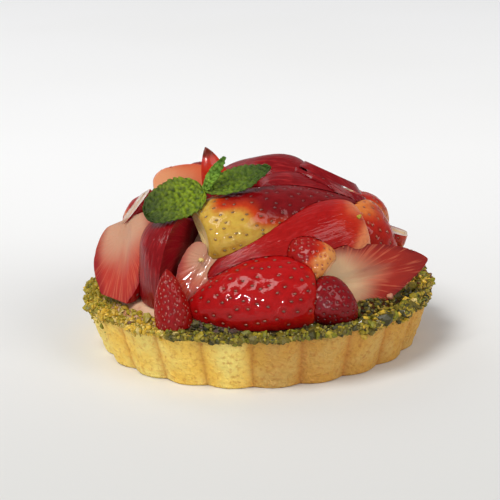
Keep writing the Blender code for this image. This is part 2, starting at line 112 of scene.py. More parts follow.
class Nodes:
    """A material's node tree, built with short calls."""

    def __init__(self, name: str) -> None:
        """Starts a material with a Principled shader.

        Args:
            name: the material's name.
        """
        self.material = bpy.data.materials.new(name)
        self.material.use_nodes = True
        self.tree = self.material.node_tree
        self.shader = self.tree.nodes["Principled BSDF"]

    def put(self, socket: Socket, value: object) -> None:
        """Links a socket to another one, or sets its constant.

        Args:
            socket: the input to fill.
            value: another socket, a number, a vector or a colour.
        """
        if isinstance(value, Socket):
            self.tree.links.new(value, socket)
        elif socket.type == "RGBA":
            socket.default_value = (*value[:3], 1.0)
        else:
            socket.default_value = value

    def node(self, kind: str, inputs: dict | None = None, **settings: object) -> bpy.types.Node:
        """Adds a node.

        Args:
            kind: the node's type name.
            inputs: a value or a linked socket for each input, by name or index.
            settings: the node's own options.

        Returns:
            The new node.
        """
        made = self.tree.nodes.new(kind)
        for key, value in settings.items():
            setattr(made, key, value)
        for key, value in (inputs or {}).items():
            self.put(made.inputs[key], value)
        return made

    def place(self) -> Socket:
        """The point's place in the object, in metres."""
        return self.node("ShaderNodeTexCoord").outputs["Object"]

    def attribute(self, name: str, output: str = "Fac") -> Socket:
        """A mesh attribute, as a number, a vector or a colour."""
        return self.node("ShaderNodeAttribute", attribute_name=name).outputs[output]

    def noise(self, vector: Socket, scale: float, detail: float = 2.0) -> Socket:
        """Cloudy noise from 0 to 1, with that many patches a metre."""
        inputs = {"Vector": vector, "Scale": scale, "Detail": detail}
        return self.node("ShaderNodeTexNoise", inputs).outputs["Fac"]

    def cells(self, vector: Socket, scale: float) -> Socket:
        """The distance to the nearest of scattered points, in cells."""
        return self.node("ShaderNodeTexVoronoi", {"Vector": vector, "Scale": scale}).outputs["Distance"]

    def step(self, value: Socket, low: float, high: float, top: float = 1.0) -> Socket:
        """A smooth step from 0 at low to top at high."""
        inputs = {"Value": value, "From Min": low, "From Max": high, "To Max": top}
        return self.node("ShaderNodeMapRange", inputs, interpolation_type="SMOOTHSTEP").outputs["Result"]

    def maths(self, operation: str, first: object, second: object) -> Socket:
        """A sum, product or the like of two numbers."""
        return self.node("ShaderNodeMath", {0: first, 1: second}, operation=operation).outputs[0]

    def blend(self, share: object, first: object, second: object, how: str = "MIX") -> Socket:
        """A colour between two others.

        Args:
            share: how much of the second colour there is.
            first: the first colour.
            second: the second colour.
            how: the way that they mix.

        Returns:
            The mixed colour's socket.
        """
        inputs = {0: share, 6: first, 7: second}
        made = self.node("ShaderNodeMix", inputs, data_type="RGBA", blend_type=how)
        return made.outputs[2]

    def bump(self, height: Socket, depth: float, under: object = None) -> Socket:
        """A normal with relief of that depth in metres.

        Args:
            height: the relief's height, from 0 to 1.
            depth: how deep it is.
            under: a normal that it lies on.

        Returns:
            The normal's socket.
        """
        inputs = {"Height": height, "Distance": depth}
        if under is not None:
            inputs["Normal"] = under
        return self.node("ShaderNodeBump", inputs).outputs["Normal"]

    def dress(self, **inputs: object) -> Material:
        """Sets the shader's inputs, named with _ for a space.

        Args:
            inputs: a constant or a socket for each input.

        Returns:
            The finished material.
        """
        for key, value in inputs.items():
            self.put(self.shader.inputs[key.replace("_", " ")], value)
        return self.material


@dataclass(frozen=True)
class SkinFinish:
    """Strawberry skin under a clear glaze: its painted tone, mottled, with painted shade in the seeds'
    hollows and painted highlights on its creases' ridges.
    """

    mottled: Colour = linear(190, 120, 110)
    # The colour of the painted shade in the seeds' hollows.
    hollow: Colour = linear(168, 60, 50)
    # A lighter red, painted as a highlight on the creases' ridges.
    ridge_highlight: Colour = linear(186, 46, 46)
    mottle_scale: float = 700.0
    ripple_scale: float = 520.0
    ripple_depth: float = 0.14 * MM
    crease_depth: float = 0.30 * MM

    def material(self) -> Material:
        """Builds the material.

        Returns:
            The finished material.
        """
        nodes = Nodes("strawberry_skin")
        place = nodes.place()
        tone = nodes.attribute("tone", "Color")
        mottle = nodes.noise(place, self.mottle_scale, 3.0)
        tone = nodes.blend(nodes.step(mottle, 0.40, 0.75, 0.30), tone, self.mottled, "MULTIPLY")
        pit = nodes.attribute("pit")
        # Painted shade: the skin is darkened in the seeds' hollows.
        tone = nodes.blend(nodes.maths("MULTIPLY", pit, 0.6), tone, self.hollow, "MULTIPLY")
        crease = nodes.noise(nodes.attribute("grain", "Vector"), 1.0, 2.0)
        creased = nodes.attribute("crease")
        # Painted highlight: the creases' ridges are painted a lighter red.
        ridge_highlight = nodes.maths("MULTIPLY", nodes.step(crease, 0.50, 0.72, 0.45), creased)
        tone = nodes.blend(ridge_highlight, tone, self.ridge_highlight)
        folds = nodes.bump(nodes.maths("MULTIPLY", crease, creased), self.crease_depth)
        ripple = nodes.noise(place, self.ripple_scale, 2.0)
        return nodes.dress(
            Base_Color=tone,
            Roughness=0.42,
            Subsurface_Weight=0.12,
            Subsurface_Radius=(1.0, 0.25, 0.15),
            Subsurface_Scale=1.5 * MM,
            Specular_IOR_Level=0.02,
            Coat_Weight=0.62,
            Coat_IOR=1.38,
            Coat_Roughness=0.05,
            Normal=nodes.bump(ripple, self.ripple_depth * 0.5, folds),
            Coat_Normal=nodes.bump(ripple, self.ripple_depth, folds),
        )


@dataclass(frozen=True)
class FleshFinish:
    """The wet cut face of a strawberry, with pale fibres that run from its core to its seeds."""

    fibre: Colour = linear(216, 114, 80)
    fibre_depth: float = 0.09 * MM
    wet_scale: float = 500.0
    wet_depth: float = 0.05 * MM

    def material(self) -> Material:
        """Builds the material.

        Returns:
            The finished material.
        """
        nodes = Nodes("strawberry_flesh")
        fibre = nodes.noise(nodes.attribute("grain", "Vector"), 1.0, 2.0)
        tone = nodes.attribute("tone", "Color")
        streak = nodes.maths("MULTIPLY", nodes.step(fibre, 0.50, 0.64), nodes.attribute("pit"))
        tone = nodes.blend(streak, tone, self.fibre)
        wet = nodes.noise(nodes.place(), self.wet_scale, 2.0)
        return nodes.dress(
            Base_Color=tone,
            Roughness=0.36,
            Subsurface_Weight=0.25,
            Subsurface_Radius=(1.0, 0.4, 0.25),
            Subsurface_Scale=2.0 * MM,
            Specular_IOR_Level=0.15,
            Coat_Weight=0.6,
            Coat_IOR=1.4,
            Coat_Roughness=0.1,
            Normal=nodes.bump(fibre, self.fibre_depth, nodes.bump(wet, self.wet_depth)),
        )


@dataclass(frozen=True)
class SeedFinish:
    """Small hard seeds, glazed, from straw to brown."""

    shaded: Colour = linear(90, 45, 15)
    grain_scale: float = 3500.0

    def material(self) -> Material:
        """Builds the material.

        Returns:
            The finished material.
        """
        nodes = Nodes("strawberry_seed")
        grain = nodes.noise(nodes.place(), self.grain_scale, 1.0)
        tone = nodes.attribute("tone", "Color")
        tone = nodes.blend(nodes.step(grain, 0.4, 0.7, 0.4), tone, self.shaded)
        return nodes.dress(Base_Color=tone, Roughness=0.45, Coat_Weight=0.35, Coat_Roughness=0.12)


@dataclass(frozen=True)
class CrustFinish:
    """Baked short pastry: gold on the flutes, with painted shade in the grooves, sandy, and dusted at the
    rim.
    """

    gold: Colour = linear(255, 209, 84)
    pale: Colour = linear(255, 229, 124)
    # Toasted spots, and the painted shade in the grooves.
    toasted_and_groove_shade: Colour = linear(212, 145, 42)
    brown: Colour = linear(164, 84, 14)
    dust: Colour = linear(150, 128, 36)
    broad_scale: float = 90.0
    sand_scale: float = 900.0
    sand_depth: float = 0.60 * MM
    grit_scale: float = 1300.0
    grit_depth: float = 0.24 * MM
    spot_scale: float = 260.0

    def material(self) -> Material:
        """Builds the material.

        Returns:
            The finished material.
        """
        nodes = Nodes("pastry_crust")
        place = nodes.place()
        broad = nodes.noise(place, self.broad_scale, 3.0)
        sand = nodes.noise(place, self.sand_scale, 4.0)
        grit = nodes.cells(place, self.grit_scale)
        tone = nodes.blend(nodes.step(broad, 0.38, 0.66), self.gold, self.pale)
        tone = nodes.blend(nodes.step(sand, 0.50, 0.72, 0.6), tone, self.toasted_and_groove_shade)
        # Painted shade: the grooves are painted in the toasted tone.
        groove = nodes.attribute("groove")
        tone = nodes.blend(nodes.maths("MULTIPLY", groove, 0.75), tone, self.toasted_and_groove_shade)
        tone = nodes.blend(nodes.attribute("bake"), tone, self.brown)
        spots = nodes.step(nodes.noise(place, self.spot_scale, 2.0), 0.70, 0.78, 0.6)
        tone = nodes.blend(spots, tone, self.brown)
        dust = nodes.maths("MULTIPLY", nodes.attribute("dust"), nodes.step(sand, 0.35, 0.6, 0.9))
        tone = nodes.blend(dust, tone, self.dust)
        rough = nodes.bump(grit, self.grit_depth, nodes.bump(sand, self.sand_depth))
        return nodes.dress(
            Base_Color=tone,
            Roughness=0.72,
            Subsurface_Weight=0.08,
            Subsurface_Radius=(1.0, 0.6, 0.3),
            Subsurface_Scale=1.0 * MM,
            Normal=rough,
        )


@dataclass(frozen=True)
class CreamFinish:
    """Pale cream with a soft gloss, stained by the fruit's juice; the dark juice tone round the front is
    also painted shade under the fruit.
    """

    cream: Colour = linear(224, 184, 152)
    stained: Colour = linear(190, 104, 78)
    # Dark juice, which also stands as painted shade under the fruit.
    juice_and_shade: Colour = linear(72, 34, 12)
    cloud_scale: float = 180.0
    ripple_scale: float = 600.0
    ripple_depth: float = 0.15 * MM

    def material(self) -> Material:
        """Builds the material.

        Returns:
            The finished material.
        """
        nodes = Nodes("cream")
        place = nodes.place()
        cloud = nodes.noise(place, self.cloud_scale, 3.0)
        ripple = nodes.noise(place, self.ripple_scale, 3.0)
        tone = nodes.blend(nodes.step(cloud, 0.42, 0.7, 0.7), self.cream, self.stained)
        # Juice and painted shade: the front of the cream is painted dark.
        tone = nodes.blend(nodes.attribute("juice_and_shade"), tone, self.juice_and_shade)
        return nodes.dress(
            Base_Color=tone,
            Roughness=0.38,
            Subsurface_Weight=0.3,
            Subsurface_Radius=(1.0, 0.7, 0.5),
            Subsurface_Scale=2.0 * MM,
            Specular_IOR_Level=0.12,
            Coat_Weight=0.05,
            Coat_Roughness=0.2,
            Normal=nodes.bump(ripple, self.ripple_depth),
        )


@dataclass(frozen=True)
class CrumbFinish:
    """Chopped nuts: each crumb has its own painted tone, slightly oily."""

    oily: Colour = linear(110, 95, 35)
    grain_scale: float = 1500.0
    grain_depth: float = 0.12 * MM

    def material(self) -> Material:
        """Builds the material.

        Returns:
            The finished material.
        """
        nodes = Nodes("pistachio_crumb")
        grain = nodes.noise(nodes.place(), self.grain_scale, 3.0)
        tone = nodes.attribute("tone", "Color")
        tone = nodes.blend(nodes.step(grain, 0.4, 0.7, 0.45), tone, self.oily, "MULTIPLY")
        return nodes.dress(
            Base_Color=tone,
            Roughness=0.5,
            Specular_IOR_Level=0.3,
            Coat_Weight=0.12,
            Coat_Roughness=0.15,
            Normal=nodes.bump(grain, self.grain_depth),
        )


@dataclass(frozen=True)
class LeafFinish:
    """A mint leaf: deep green in its folds as painted shade, yellower on its ridges as painted light, and
    yellower on its veins.
    """

    mottled: Colour = linear(90, 120, 40)
    vein: Colour = linear(132, 156, 40)
    mottle_scale: float = 700.0
    down_scale: float = 1600.0
    down_depth: float = 0.10 * MM

    def material(self) -> Material:
        """Builds the material.

        Returns:
            The finished material.
        """
        nodes = Nodes("mint_leaf")
        place = nodes.place()
        mottle = nodes.noise(place, self.mottle_scale, 3.0)
        tone = nodes.attribute("tone", "Color")
        tone = nodes.blend(nodes.step(mottle, 0.35, 0.7, 0.5), tone, self.mottled, "MULTIPLY")
        tone = nodes.blend(nodes.maths("MULTIPLY", nodes.attribute("pit"), 0.4), tone, self.vein)
        return nodes.dress(
            Base_Color=tone,
            Roughness=0.55,
            Subsurface_Weight=0.1,
            Subsurface_Radius=(0.3, 1.0, 0.2),
            Subsurface_Scale=0.6 * MM,
            Specular_IOR_Level=0.2,
            Normal=nodes.bump(nodes.noise(place, self.down_scale, 2.0), self.down_depth),
        )


@dataclass(frozen=True)
class FloorFinish:
    """A plain pale table top, with painted light: brighter far off and darker near."""

    # The ends of the floor's painted light, near the tartlet and far off.
    near: Colour = linear(214, 214, 212)
    far: Colour = linear(250, 250, 250)
    clouded: Colour = linear(245, 244, 240)
    cloud_scale: float = 3.0

    def material(self) -> Material:
        """Builds the material.

        Returns:
            The finished material.
        """
        nodes = Nodes("pale_floor")
        place = nodes.place()
        cloud = nodes.noise(place, self.cloud_scale, 2.0)
        depth = nodes.node("ShaderNodeSeparateXYZ", {"Vector": place}).outputs["Y"]
        # Painted light: the floor is painted darker near and brighter far off.
        tone = nodes.blend(nodes.step(depth, -0.20, 0.25), self.near, self.far)
        tone = nodes.blend(nodes.step(cloud, 0.3, 0.7, 0.3), tone, self.clouded, "MULTIPLY")
        return nodes.dress(Base_Color=tone, Roughness=0.6, Specular_IOR_Level=0.2)


def piece(name: str, mesh: Mesh, replaced: tuple[str, ...] = ()) -> Object:
    """Puts a finished mesh in the scene as a piece of the tartlet.

    Args:
        name: the piece's name.
        mesh: the mesh, already in its place.
        replaced: the CAD nodes that it stands for.

    Returns:
        The new object.
    """
    obj = bpy.data.objects.new(name, mesh)
    bpy.context.scene.collection.objects.link(obj)
    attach(obj, "root")
    if replaced:
        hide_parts(*replaced)
    LOG.info("%s: %d faces", name, len(mesh.polygons))
    return obj


def to_mesh(name: str, bm: bmesh.types.BMesh) -> Mesh:
    """Turns a bmesh into a mesh and frees it.

    Args:
        name: the mesh's name.
        bm: the bmesh.

    Returns:
        The mesh.
    """
    mesh = bpy.data.meshes.new(name)
    bm.to_mesh(mesh)
    bm.free()
    return mesh


def points_of(mesh: Mesh) -> np.ndarray:
    """A mesh's points, one row each.

    Args:
        mesh: the mesh.

    Returns:
        The points in metres.
    """
    values = np.zeros(len(mesh.vertices) * 3, np.float32)
    mesh.vertices.foreach_get("co", values)
    return values.reshape(-1, 3).astype(float)


def move_points(mesh: Mesh, points: np.ndarray) -> None:
    """Gives a mesh's points new places."""
    mesh.vertices.foreach_set("co", points.astype(np.float32).ravel())
    mesh.update()


def store(mesh: Mesh, name: str, kind: str, domain: str, values: np.ndarray) -> None:
    """Keeps a value for each point or corner of a mesh, for its material to read.

    Args:
        mesh: the mesh.
        name: the attribute's name.
        kind: the attribute's type.
        domain: POINT or CORNER.
        values: a number, a vector or a colour for each.
    """
    layer = mesh.attributes.new(name, kind, domain)
    field = {"FLOAT": "value", "FLOAT_VECTOR": "vector", "FLOAT_COLOR": "color"}[kind]
    if kind == "FLOAT_COLOR":
        values = np.column_stack([values, np.ones(len(values))])
    layer.data.foreach_set(field, values.astype(np.float32).ravel())


def revolved(profile: Outline, steps: int) -> bmesh.types.BMesh:
    """Wraps a grid round Z, along a profile of radius and height.

    Args:
        profile: the radius and height of each point, from one end to the other.
        steps: how many points there are round the turn.

    Returns:
        The turned surface, with its seam and its poles merged.
    """
    bm = bmesh.new()
    rows = len(profile) - 1
    bmesh.ops.create_grid(bm, x_segments=steps, y_segments=rows, size=1.0)
    angles = [math.tau * step / steps for step in range(steps)]
    turns = [(math.cos(angle), math.sin(angle)) for angle in angles]
    for vert in bm.verts:
        cosine, sine = turns[round((vert.co.x + 1) / 2 * steps) % steps]
        radius, height = profile[round((vert.co.y + 1) / 2 * rows)]
        vert.co = (radius * cosine, radius * sine, height)
    bmesh.ops.remove_doubles(bm, verts=bm.verts, dist=0.002 * MM)
    close_holes(bm)
    return bm


def close_holes(bm: bmesh.types.BMesh) -> None:
    """Fills open loops and turns the faces outwards.

    Args:
        bm: the mesh to close.
    """
    edges = [edge for edge in bm.edges if edge.is_boundary]
    bmesh.ops.holes_fill(bm, edges=edges, sides=0)
    bmesh.ops.recalc_face_normals(bm, faces=bm.faces)


def cut(mesh: Mesh, cutters: list[Mesh], slots: list[Material]) -> Mesh:
    """Cuts solids from a mesh. What a cut bares takes the last material slot.

    Args:
        mesh: the mesh to cut.
        cutters: the solids to cut away.
        slots: the materials, the last of them for the bared faces.

    Returns:
        The cut mesh.
    """
    scene = bpy.context.scene.collection
    body = bpy.data.objects.new("body", mesh)
    scene.objects.link(body)
    group = bpy.data.collections.new("cutters")
    for cutter in cutters:
        group.objects.link(bpy.data.objects.new("cutter", cutter))
    for holder in [mesh, *cutters]:
        for slot in slots[len(holder.materials):]:
            holder.materials.append(slot)
    for cutter in cutters:
        last = np.full(len(cutter.polygons), len(slots) - 1, np.int32)
        cutter.polygons.foreach_set("material_index", last)
    modifier = body.modifiers.new("cut", "BOOLEAN")
    modifier.operation = "DIFFERENCE"
    modifier.operand_type = "COLLECTION"
    modifier.collection = group
    modifier.solver = "MANIFOLD"
    bpy.context.view_layer.update()
    graph = bpy.context.evaluated_depsgraph_get()
    made = bpy.data.meshes.new_from_object(body.evaluated_get(graph), depsgraph=graph)
    for obj in [body, *group.objects]:
        bpy.data.objects.remove(obj)
    bpy.data.collections.remove(group)
    return made


def scattered(name: str, shapes: list[Mesh], places: list[Matrix], tones: list[Colour]) -> Mesh:
    """Copies small shapes to many places, as one joined mesh.

    Args:
        name: the mesh's name.
        shapes: the shapes, used in turn.
        places: where each copy goes.
        tones: the colour of each copy.

    Returns:
        The joined mesh, with its colours in the attribute tone.
    """
    parts, faces, colours, start = [], [], [], 0
    bases = [(points_of(shape), [tuple(f.vertices) for f in shape.polygons]) for shape in shapes]
    for index, matrix in enumerate(places):
        points, sides = bases[index % len(bases)]
        turn = np.array(matrix.to_3x3())
        parts.append(points @ turn.T + np.array(matrix.translation))
        faces.extend(tuple(start + corner for corner in side) for side in sides)
        colours.append(np.tile(tones[index], (len(points), 1)))
        start += len(points)
    mesh = bpy.data.meshes.new(name)
    mesh.from_pydata(np.concatenate(parts).tolist(), [], faces)
    store(mesh, "tone", "FLOAT_COLOR", "POINT", np.concatenate(colours))
    return mesh


@dataclass(frozen=True)
class Bloom:
    """The colours of one strawberry: its skin, its paler shoulder, and its flesh from core to skin.

    reach is how far the shoulder's colour comes down, as a share of the length, and pale the same for
    the flesh's heart. sun is how much riper the skin is where it faces up, and burnt how brown the tip is.
    """

    skin: Colour
    blush: Colour
    shoulder: Colour
    reach: float
    heart: Colour
    flesh: Colour
    rind: Colour
    pale: float
    streak: float = 0.5
    seed: Colour = linear(134, 56, 26)
    sun: float = 0.0
    burnt: float = 0.0


class Ripeness(Enum):
    """How ripe a strawberry is."""

    RIPE = Bloom(
        skin=linear(172, 12, 14), blush=linear(182, 26, 16), shoulder=linear(196, 56, 26), reach=0.02,
        heart=linear(228, 150, 112), flesh=linear(206, 48, 32), rind=linear(156, 14, 16), pale=0.25,
    )
    DEEP = Bloom(
        skin=linear(126, 8, 16), blush=linear(130, 12, 18), shoulder=linear(140, 20, 20), reach=0.02,
        heart=linear(128, 22, 28), flesh=linear(110, 12, 20), rind=linear(100, 6, 14), pale=0.10,
        streak=0.05, seed=linear(112, 26, 22),
    )
    PLUM = Bloom(
        skin=linear(130, 12, 18), blush=linear(134, 16, 22), shoulder=linear(142, 22, 26), reach=0.02,
        heart=linear(150, 24, 34), flesh=linear(142, 14, 26), rind=linear(120, 8, 18), pale=0.10,
        streak=0.08,
    )
    GLOW = Bloom(
        skin=linear(156, 16, 12), blush=linear(194, 56, 20), shoulder=linear(214, 140, 72), reach=0.32,
        heart=linear(236, 180, 130), flesh=linear(210, 84, 46), rind=linear(180, 30, 18), pale=0.30,
        seed=linear(178, 66, 34),
    )
    BRIGHT = replace(
        GLOW, skin=linear(172, 30, 14), blush=linear(188, 62, 24), shoulder=linear(210, 122, 56),
        reach=0.14, seed=linear(176, 84, 36),
    )
    GLAZED = replace(
        RIPE, skin=linear(150, 14, 10), blush=linear(156, 20, 14), shoulder=linear(168, 34, 20),
        seed=linear(190, 82, 62),
    )
    FLAME = Bloom(
        skin=linear(160, 14, 12), blush=linear(184, 36, 14), shoulder=linear(222, 132, 84), reach=0.13,
        heart=linear(232, 150, 100), flesh=linear(206, 60, 32), rind=linear(160, 16, 16), pale=0.16,
        streak=0.3, seed=linear(150, 44, 26),
    )
    EMBER = Bloom(
        skin=linear(206, 48, 24), blush=linear(210, 58, 28), shoulder=linear(212, 76, 36), reach=0.10,
        heart=linear(206, 70, 34), flesh=linear(186, 38, 20), rind=linear(150, 28, 16), pale=0.20,
        streak=0.3, burnt=0.9,
    )
    ORANGE = Bloom(
        skin=linear(176, 60, 60), blush=linear(188, 84, 70), shoulder=linear(200, 110, 84), reach=0.20,
        heart=linear(216, 144, 100), flesh=linear(204, 92, 50), rind=linear(180, 48, 40), pale=0.40,
        streak=0.35, seed=linear(190, 90, 50),
    )
    UNRIPE = Bloom(
        skin=linear(122, 8, 14), blush=linear(190, 56, 18), shoulder=linear(202, 164, 66), reach=0.42,
        heart=linear(232, 204, 140), flesh=linear(214, 110, 70), rind=linear(160, 24, 22), pale=0.5,
        seed=linear(140, 104, 26), sun=0.25,
    )
    CREAMY = Bloom(
        skin=linear(170, 16, 18), blush=linear(196, 70, 44), shoulder=linear(216, 150, 96), reach=0.08,
        heart=linear(216, 180, 138), flesh=linear(164, 38, 20), rind=linear(126, 12, 10), pale=0.34,
        streak=0.45, seed=linear(176, 84, 44),
    )
    ROSY = replace(
        CREAMY, heart=linear(206, 154, 124), flesh=linear(186, 54, 38), rind=linear(148, 20, 22), pale=0.36,
        streak=0.4, seed=linear(134, 56, 26),
    )
    PEACH = Bloom(
        skin=linear(176, 30, 24), blush=linear(200, 80, 48), shoulder=linear(216, 140, 96), reach=0.1,
        heart=linear(196, 140, 110), flesh=linear(180, 62, 34), rind=linear(150, 26, 20), pale=0.50,
        streak=0.2,
    )
    PALE = Bloom(
        skin=linear(136, 12, 20), blush=linear(150, 20, 24), shoulder=linear(160, 30, 30), reach=0.05,
        heart=linear(208, 176, 148), flesh=linear(204, 160, 132), rind=linear(186, 110, 90), pale=0.8,
        streak=0.2,
    )


class Cut(Enum):
    """How a strawberry is cut."""

    HALF = "half"
    QUARTER = "quarter"
    SLICE = "slice"


@dataclass(frozen=True)
class Berry:
    """A cut strawberry, in millimetres. Its axis runs from cap to tip, and its skin faces out."""

    name: str
    cap: Point
    tip: Point
    out: Point
    width: float
    ripeness: Ripeness = Ripeness.RIPE
    cut: Cut = Cut.HALF
    taper: float = 1.9
    spread: float = 45.0
    slab: tuple[float, float] = (-2.0, 2.0)
    rest: float = 15.9
    seeded: bool = True
    creased: float = 0.15

    cap_share: float = 0.55
    cap_hollow: float = 0.9
    shoulder: float = 0.3
    tip_round: float = 0.75
    flat: float = 0.9
    lump: float = 0.03
    around: int = 144
    rings: int = 84
    plain_around: int = 40
    plain_rings: int = 24
    block_size: float = 64.0
    block_cuts: int = 47
    focus: float = 0.16
    fibre_turns: float = 32.0
    fibre_length: float = 11.0
    fibre_depth: float = 0.035
    core_depth: float = 0.55
    crease_width: float = 0.9
    crease_length: float = 5.0
    face_depth: float = 0.08
    seed_pitch: float = 0.155
    seed_drift: float = 0.02
    seed_turn: float = 0.11
    seed_shape: Point = (0.56, 1.0, 0.42)
    seed_lean: float = 0.25
    seed_shade: tuple[float, float] = (0.6, 1.15)
    seed_reach: float = 0.35
    pit_depth: float = 0.26
    pit_share: float = 0.23
    sharp_angle: float = math.radians(58)
    brown: Colour = linear(88, 30, 14)
    tip_shade: float = 0.7
    # The painted shade on faces pressed against neighbours, as a share of the skin's tone.
    dent_shade: float = 0.45

    @property
    def length(self) -> float:
        """From cap to tip, in metres."""
        return (Vector(self.tip) - Vector(self.cap)).length * MM

    @property
    def radius(self) -> float:
        """The largest radius, in metres."""
        return self.width * MM / 2

    def matrix(self) -> Matrix:
        """Places the strawberry's own frame: Z from cap to tip, Y out through the skin.

        Returns:
            The frame's matrix.
        """
        cap = Vector(self.cap)
        along = (Vector(self.tip) - cap).normalized()
        out = Vector(self.out)
        out = (out - along * out.dot(along)).normalized()
        turn = Matrix((out.cross(along), out, along)).transposed().to_4x4()
        return Matrix.Translation(cap * MM) @ turn

    def reach(self, share: np.ndarray) -> np.ndarray:
        """The radius at a share of the way from cap to tip, in metres.

        Args:
            share: how far from cap to tip, from 0 to 1.

        Returns:
            The radius at each.
        """
        share = np.clip(share, 0.0, 1.0)
        back = np.clip((self.shoulder - share) / self.shoulder, 0.0, 1.0)
        low = self.cap_share + (1 - self.cap_share) * np.sqrt(1 - back * back)
        onward = np.clip((share - self.shoulder) / (1 - self.shoulder), 0.0, 1.0)
        high = (1 - onward**self.taper) ** self.tip_round
        return self.radius * np.where(share < self.shoulder, low, high)

    def lumpy(self, points: np.ndarray) -> np.ndarray:
        """Turned points with the strawberry's slight lumps, flattened across the cut.

        Args:
            points: points of the turned form.

        Returns:
            The moved points.
        """
        phase = self.cap[0] + self.tip[1]
        angle = np.arctan2(points[:, 1], points[:, 0])
        wave = np.sin(2 * angle + phase) + np.sin(3 * angle - 2 * phase + 9 * points[:, 2] / self.length)
        swell = 1 + self.lump * wave
        return np.column_stack([points[:, 0] * swell, points[:, 1] * swell * self.flat, points[:, 2]])

    def seed_spots(self) -> np.ndarray:
        """The seeds' places on the turned form, on a golden spiral, evenly spread over the skin.

        Returns:
            A row for each seed.
        """
        shares = np.linspace(0.0, 1.0, 400)
        rim = self.reach(shares)
        run = np.hypot(np.diff(rim), np.diff(shares) * self.length)
        area = np.concatenate([[0.0], np.cumsum(run * (rim[1:] + rim[:-1]) * math.pi)])
        pitch = self.seed_pitch * self.width * MM
        count = int(area[-1] / (pitch * pitch * CLOSE_PACKED))
        rng = random.Random(self.name)
        spots = []
        for index in range(2, count - 1):
            share = float(np.interp((index + 0.5) / count * area[-1], area, shares))
            share = min(0.99, max(0.02, share + rng.uniform(-self.seed_drift, self.seed_drift)))
            angle = index * GOLDEN_TURN + rng.uniform(-self.seed_turn, self.seed_turn)
            radius = float(self.reach(np.array([share]))[0])
            spots.append((radius * math.cos(angle), radius * math.sin(angle), share * self.length))
        return np.array(spots)

    def outward(self, points: np.ndarray) -> np.ndarray:
        """The directions away from the turned form at its points.

        Args:
            points: points of the turned form.

        Returns:
            A direction of length 1 for each.
        """
        share = points[:, 2] / self.length
        nudge = 0.004
        slope = (self.reach(share + nudge) - self.reach(share - nudge)) / (2 * nudge * self.length)
        span = np.maximum(np.hypot(points[:, 0], points[:, 1]), 1e-9)
        way = np.column_stack([points[:, 0] / span, points[:, 1] / span, -slope])
        return way / np.linalg.norm(way, axis=1)[:, None]

    def profile(self, rings: int, grow: float) -> Outline:
        """The half outline, from the middle of the cap to the tip, grown by a distance.

        Args:
            rings: how many steps it has.
            grow: the distance in metres.

        Returns:
            The radius and height of each point.
        """
        made = []
        for ring in range(rings + 1):
            wave = (1 - math.cos(math.pi * ring / rings)) / 2
            share = (wave + ring / rings) / 2
            radius = float(self.reach(np.array([share]))[0]) + (grow if ring < rings else 0.0)
            made.append((radius, -grow + share * (self.length + 2 * grow)))
        return made

    def knives(self) -> list[tuple[float, Vector]]:
        """Each cut's distance from the axis and the way that it faces, in the strawberry's own frame.

        Returns:
            A distance and a direction for each cut.
        """
        if self.cut is Cut.HALF:
            return [(0.0, Vector((0, -1, 0)))]
        if self.cut is Cut.QUARTER:
            turn = math.radians(self.spread)
            return [(0.0, Vector((side * math.cos(turn), -math.sin(turn), 0))) for side in (1, -1)]
        low, high = self.slab
        return [(-low * MM, Vector((0, -1, 0))), (high * MM, Vector((0, 1, 0)))]

    def grown(self, grow: float) -> Mesh:
        """The plain cut form, larger by grow on every side, to cut its neighbours with.

        Args:
            grow: the distance in metres.

        Returns:
            A closed mesh in its place.
        """
        bm = revolved(self.profile(self.plain_rings, grow), self.plain_around)
        points = self.lumpy(np.array([vert.co for vert in bm.verts]))
        for vert, point in zip(bm.verts, points):
            vert.co = point
        for distance, normal in self.knives():
            geometry = bm.verts[:] + bm.edges[:] + bm.faces[:]
            place = normal * (distance + grow)
            bmesh.ops.bisect_plane(bm, geom=geometry, plane_co=place, plane_no=normal, clear_outer=True)
            close_holes(bm)
        bmesh.ops.transform(bm, matrix=self.matrix(), verts=bm.verts)
        geometry = bm.verts[:] + bm.edges[:] + bm.faces[:]
        rest = Vector((0, 0, self.rest * MM - grow))
        bmesh.ops.bisect_plane(bm, geom=geometry, plane_co=rest, plane_no=(0, 0, -1), clear_outer=True)
        close_holes(bm)
        return to_mesh("grown", bm)

    def pits(self, points: np.ndarray, spots: np.ndarray) -> np.ndarray:
        """How far each point lies in a seed's hollow, from 0 outside to 1 at its middle.

        Args:
            points: the points.
            spots: the seeds' places.

        Returns:
            A share for each point.
        """
        width = self.pit_share * self.seed_pitch * self.width * MM
        nearest = np.full(len(points), np.inf)
        for spot in spots:
            gap = ((points - spot) ** 2).sum(axis=1)
            np.minimum(nearest, gap, out=nearest)
        return np.exp(-nearest / (width * width))

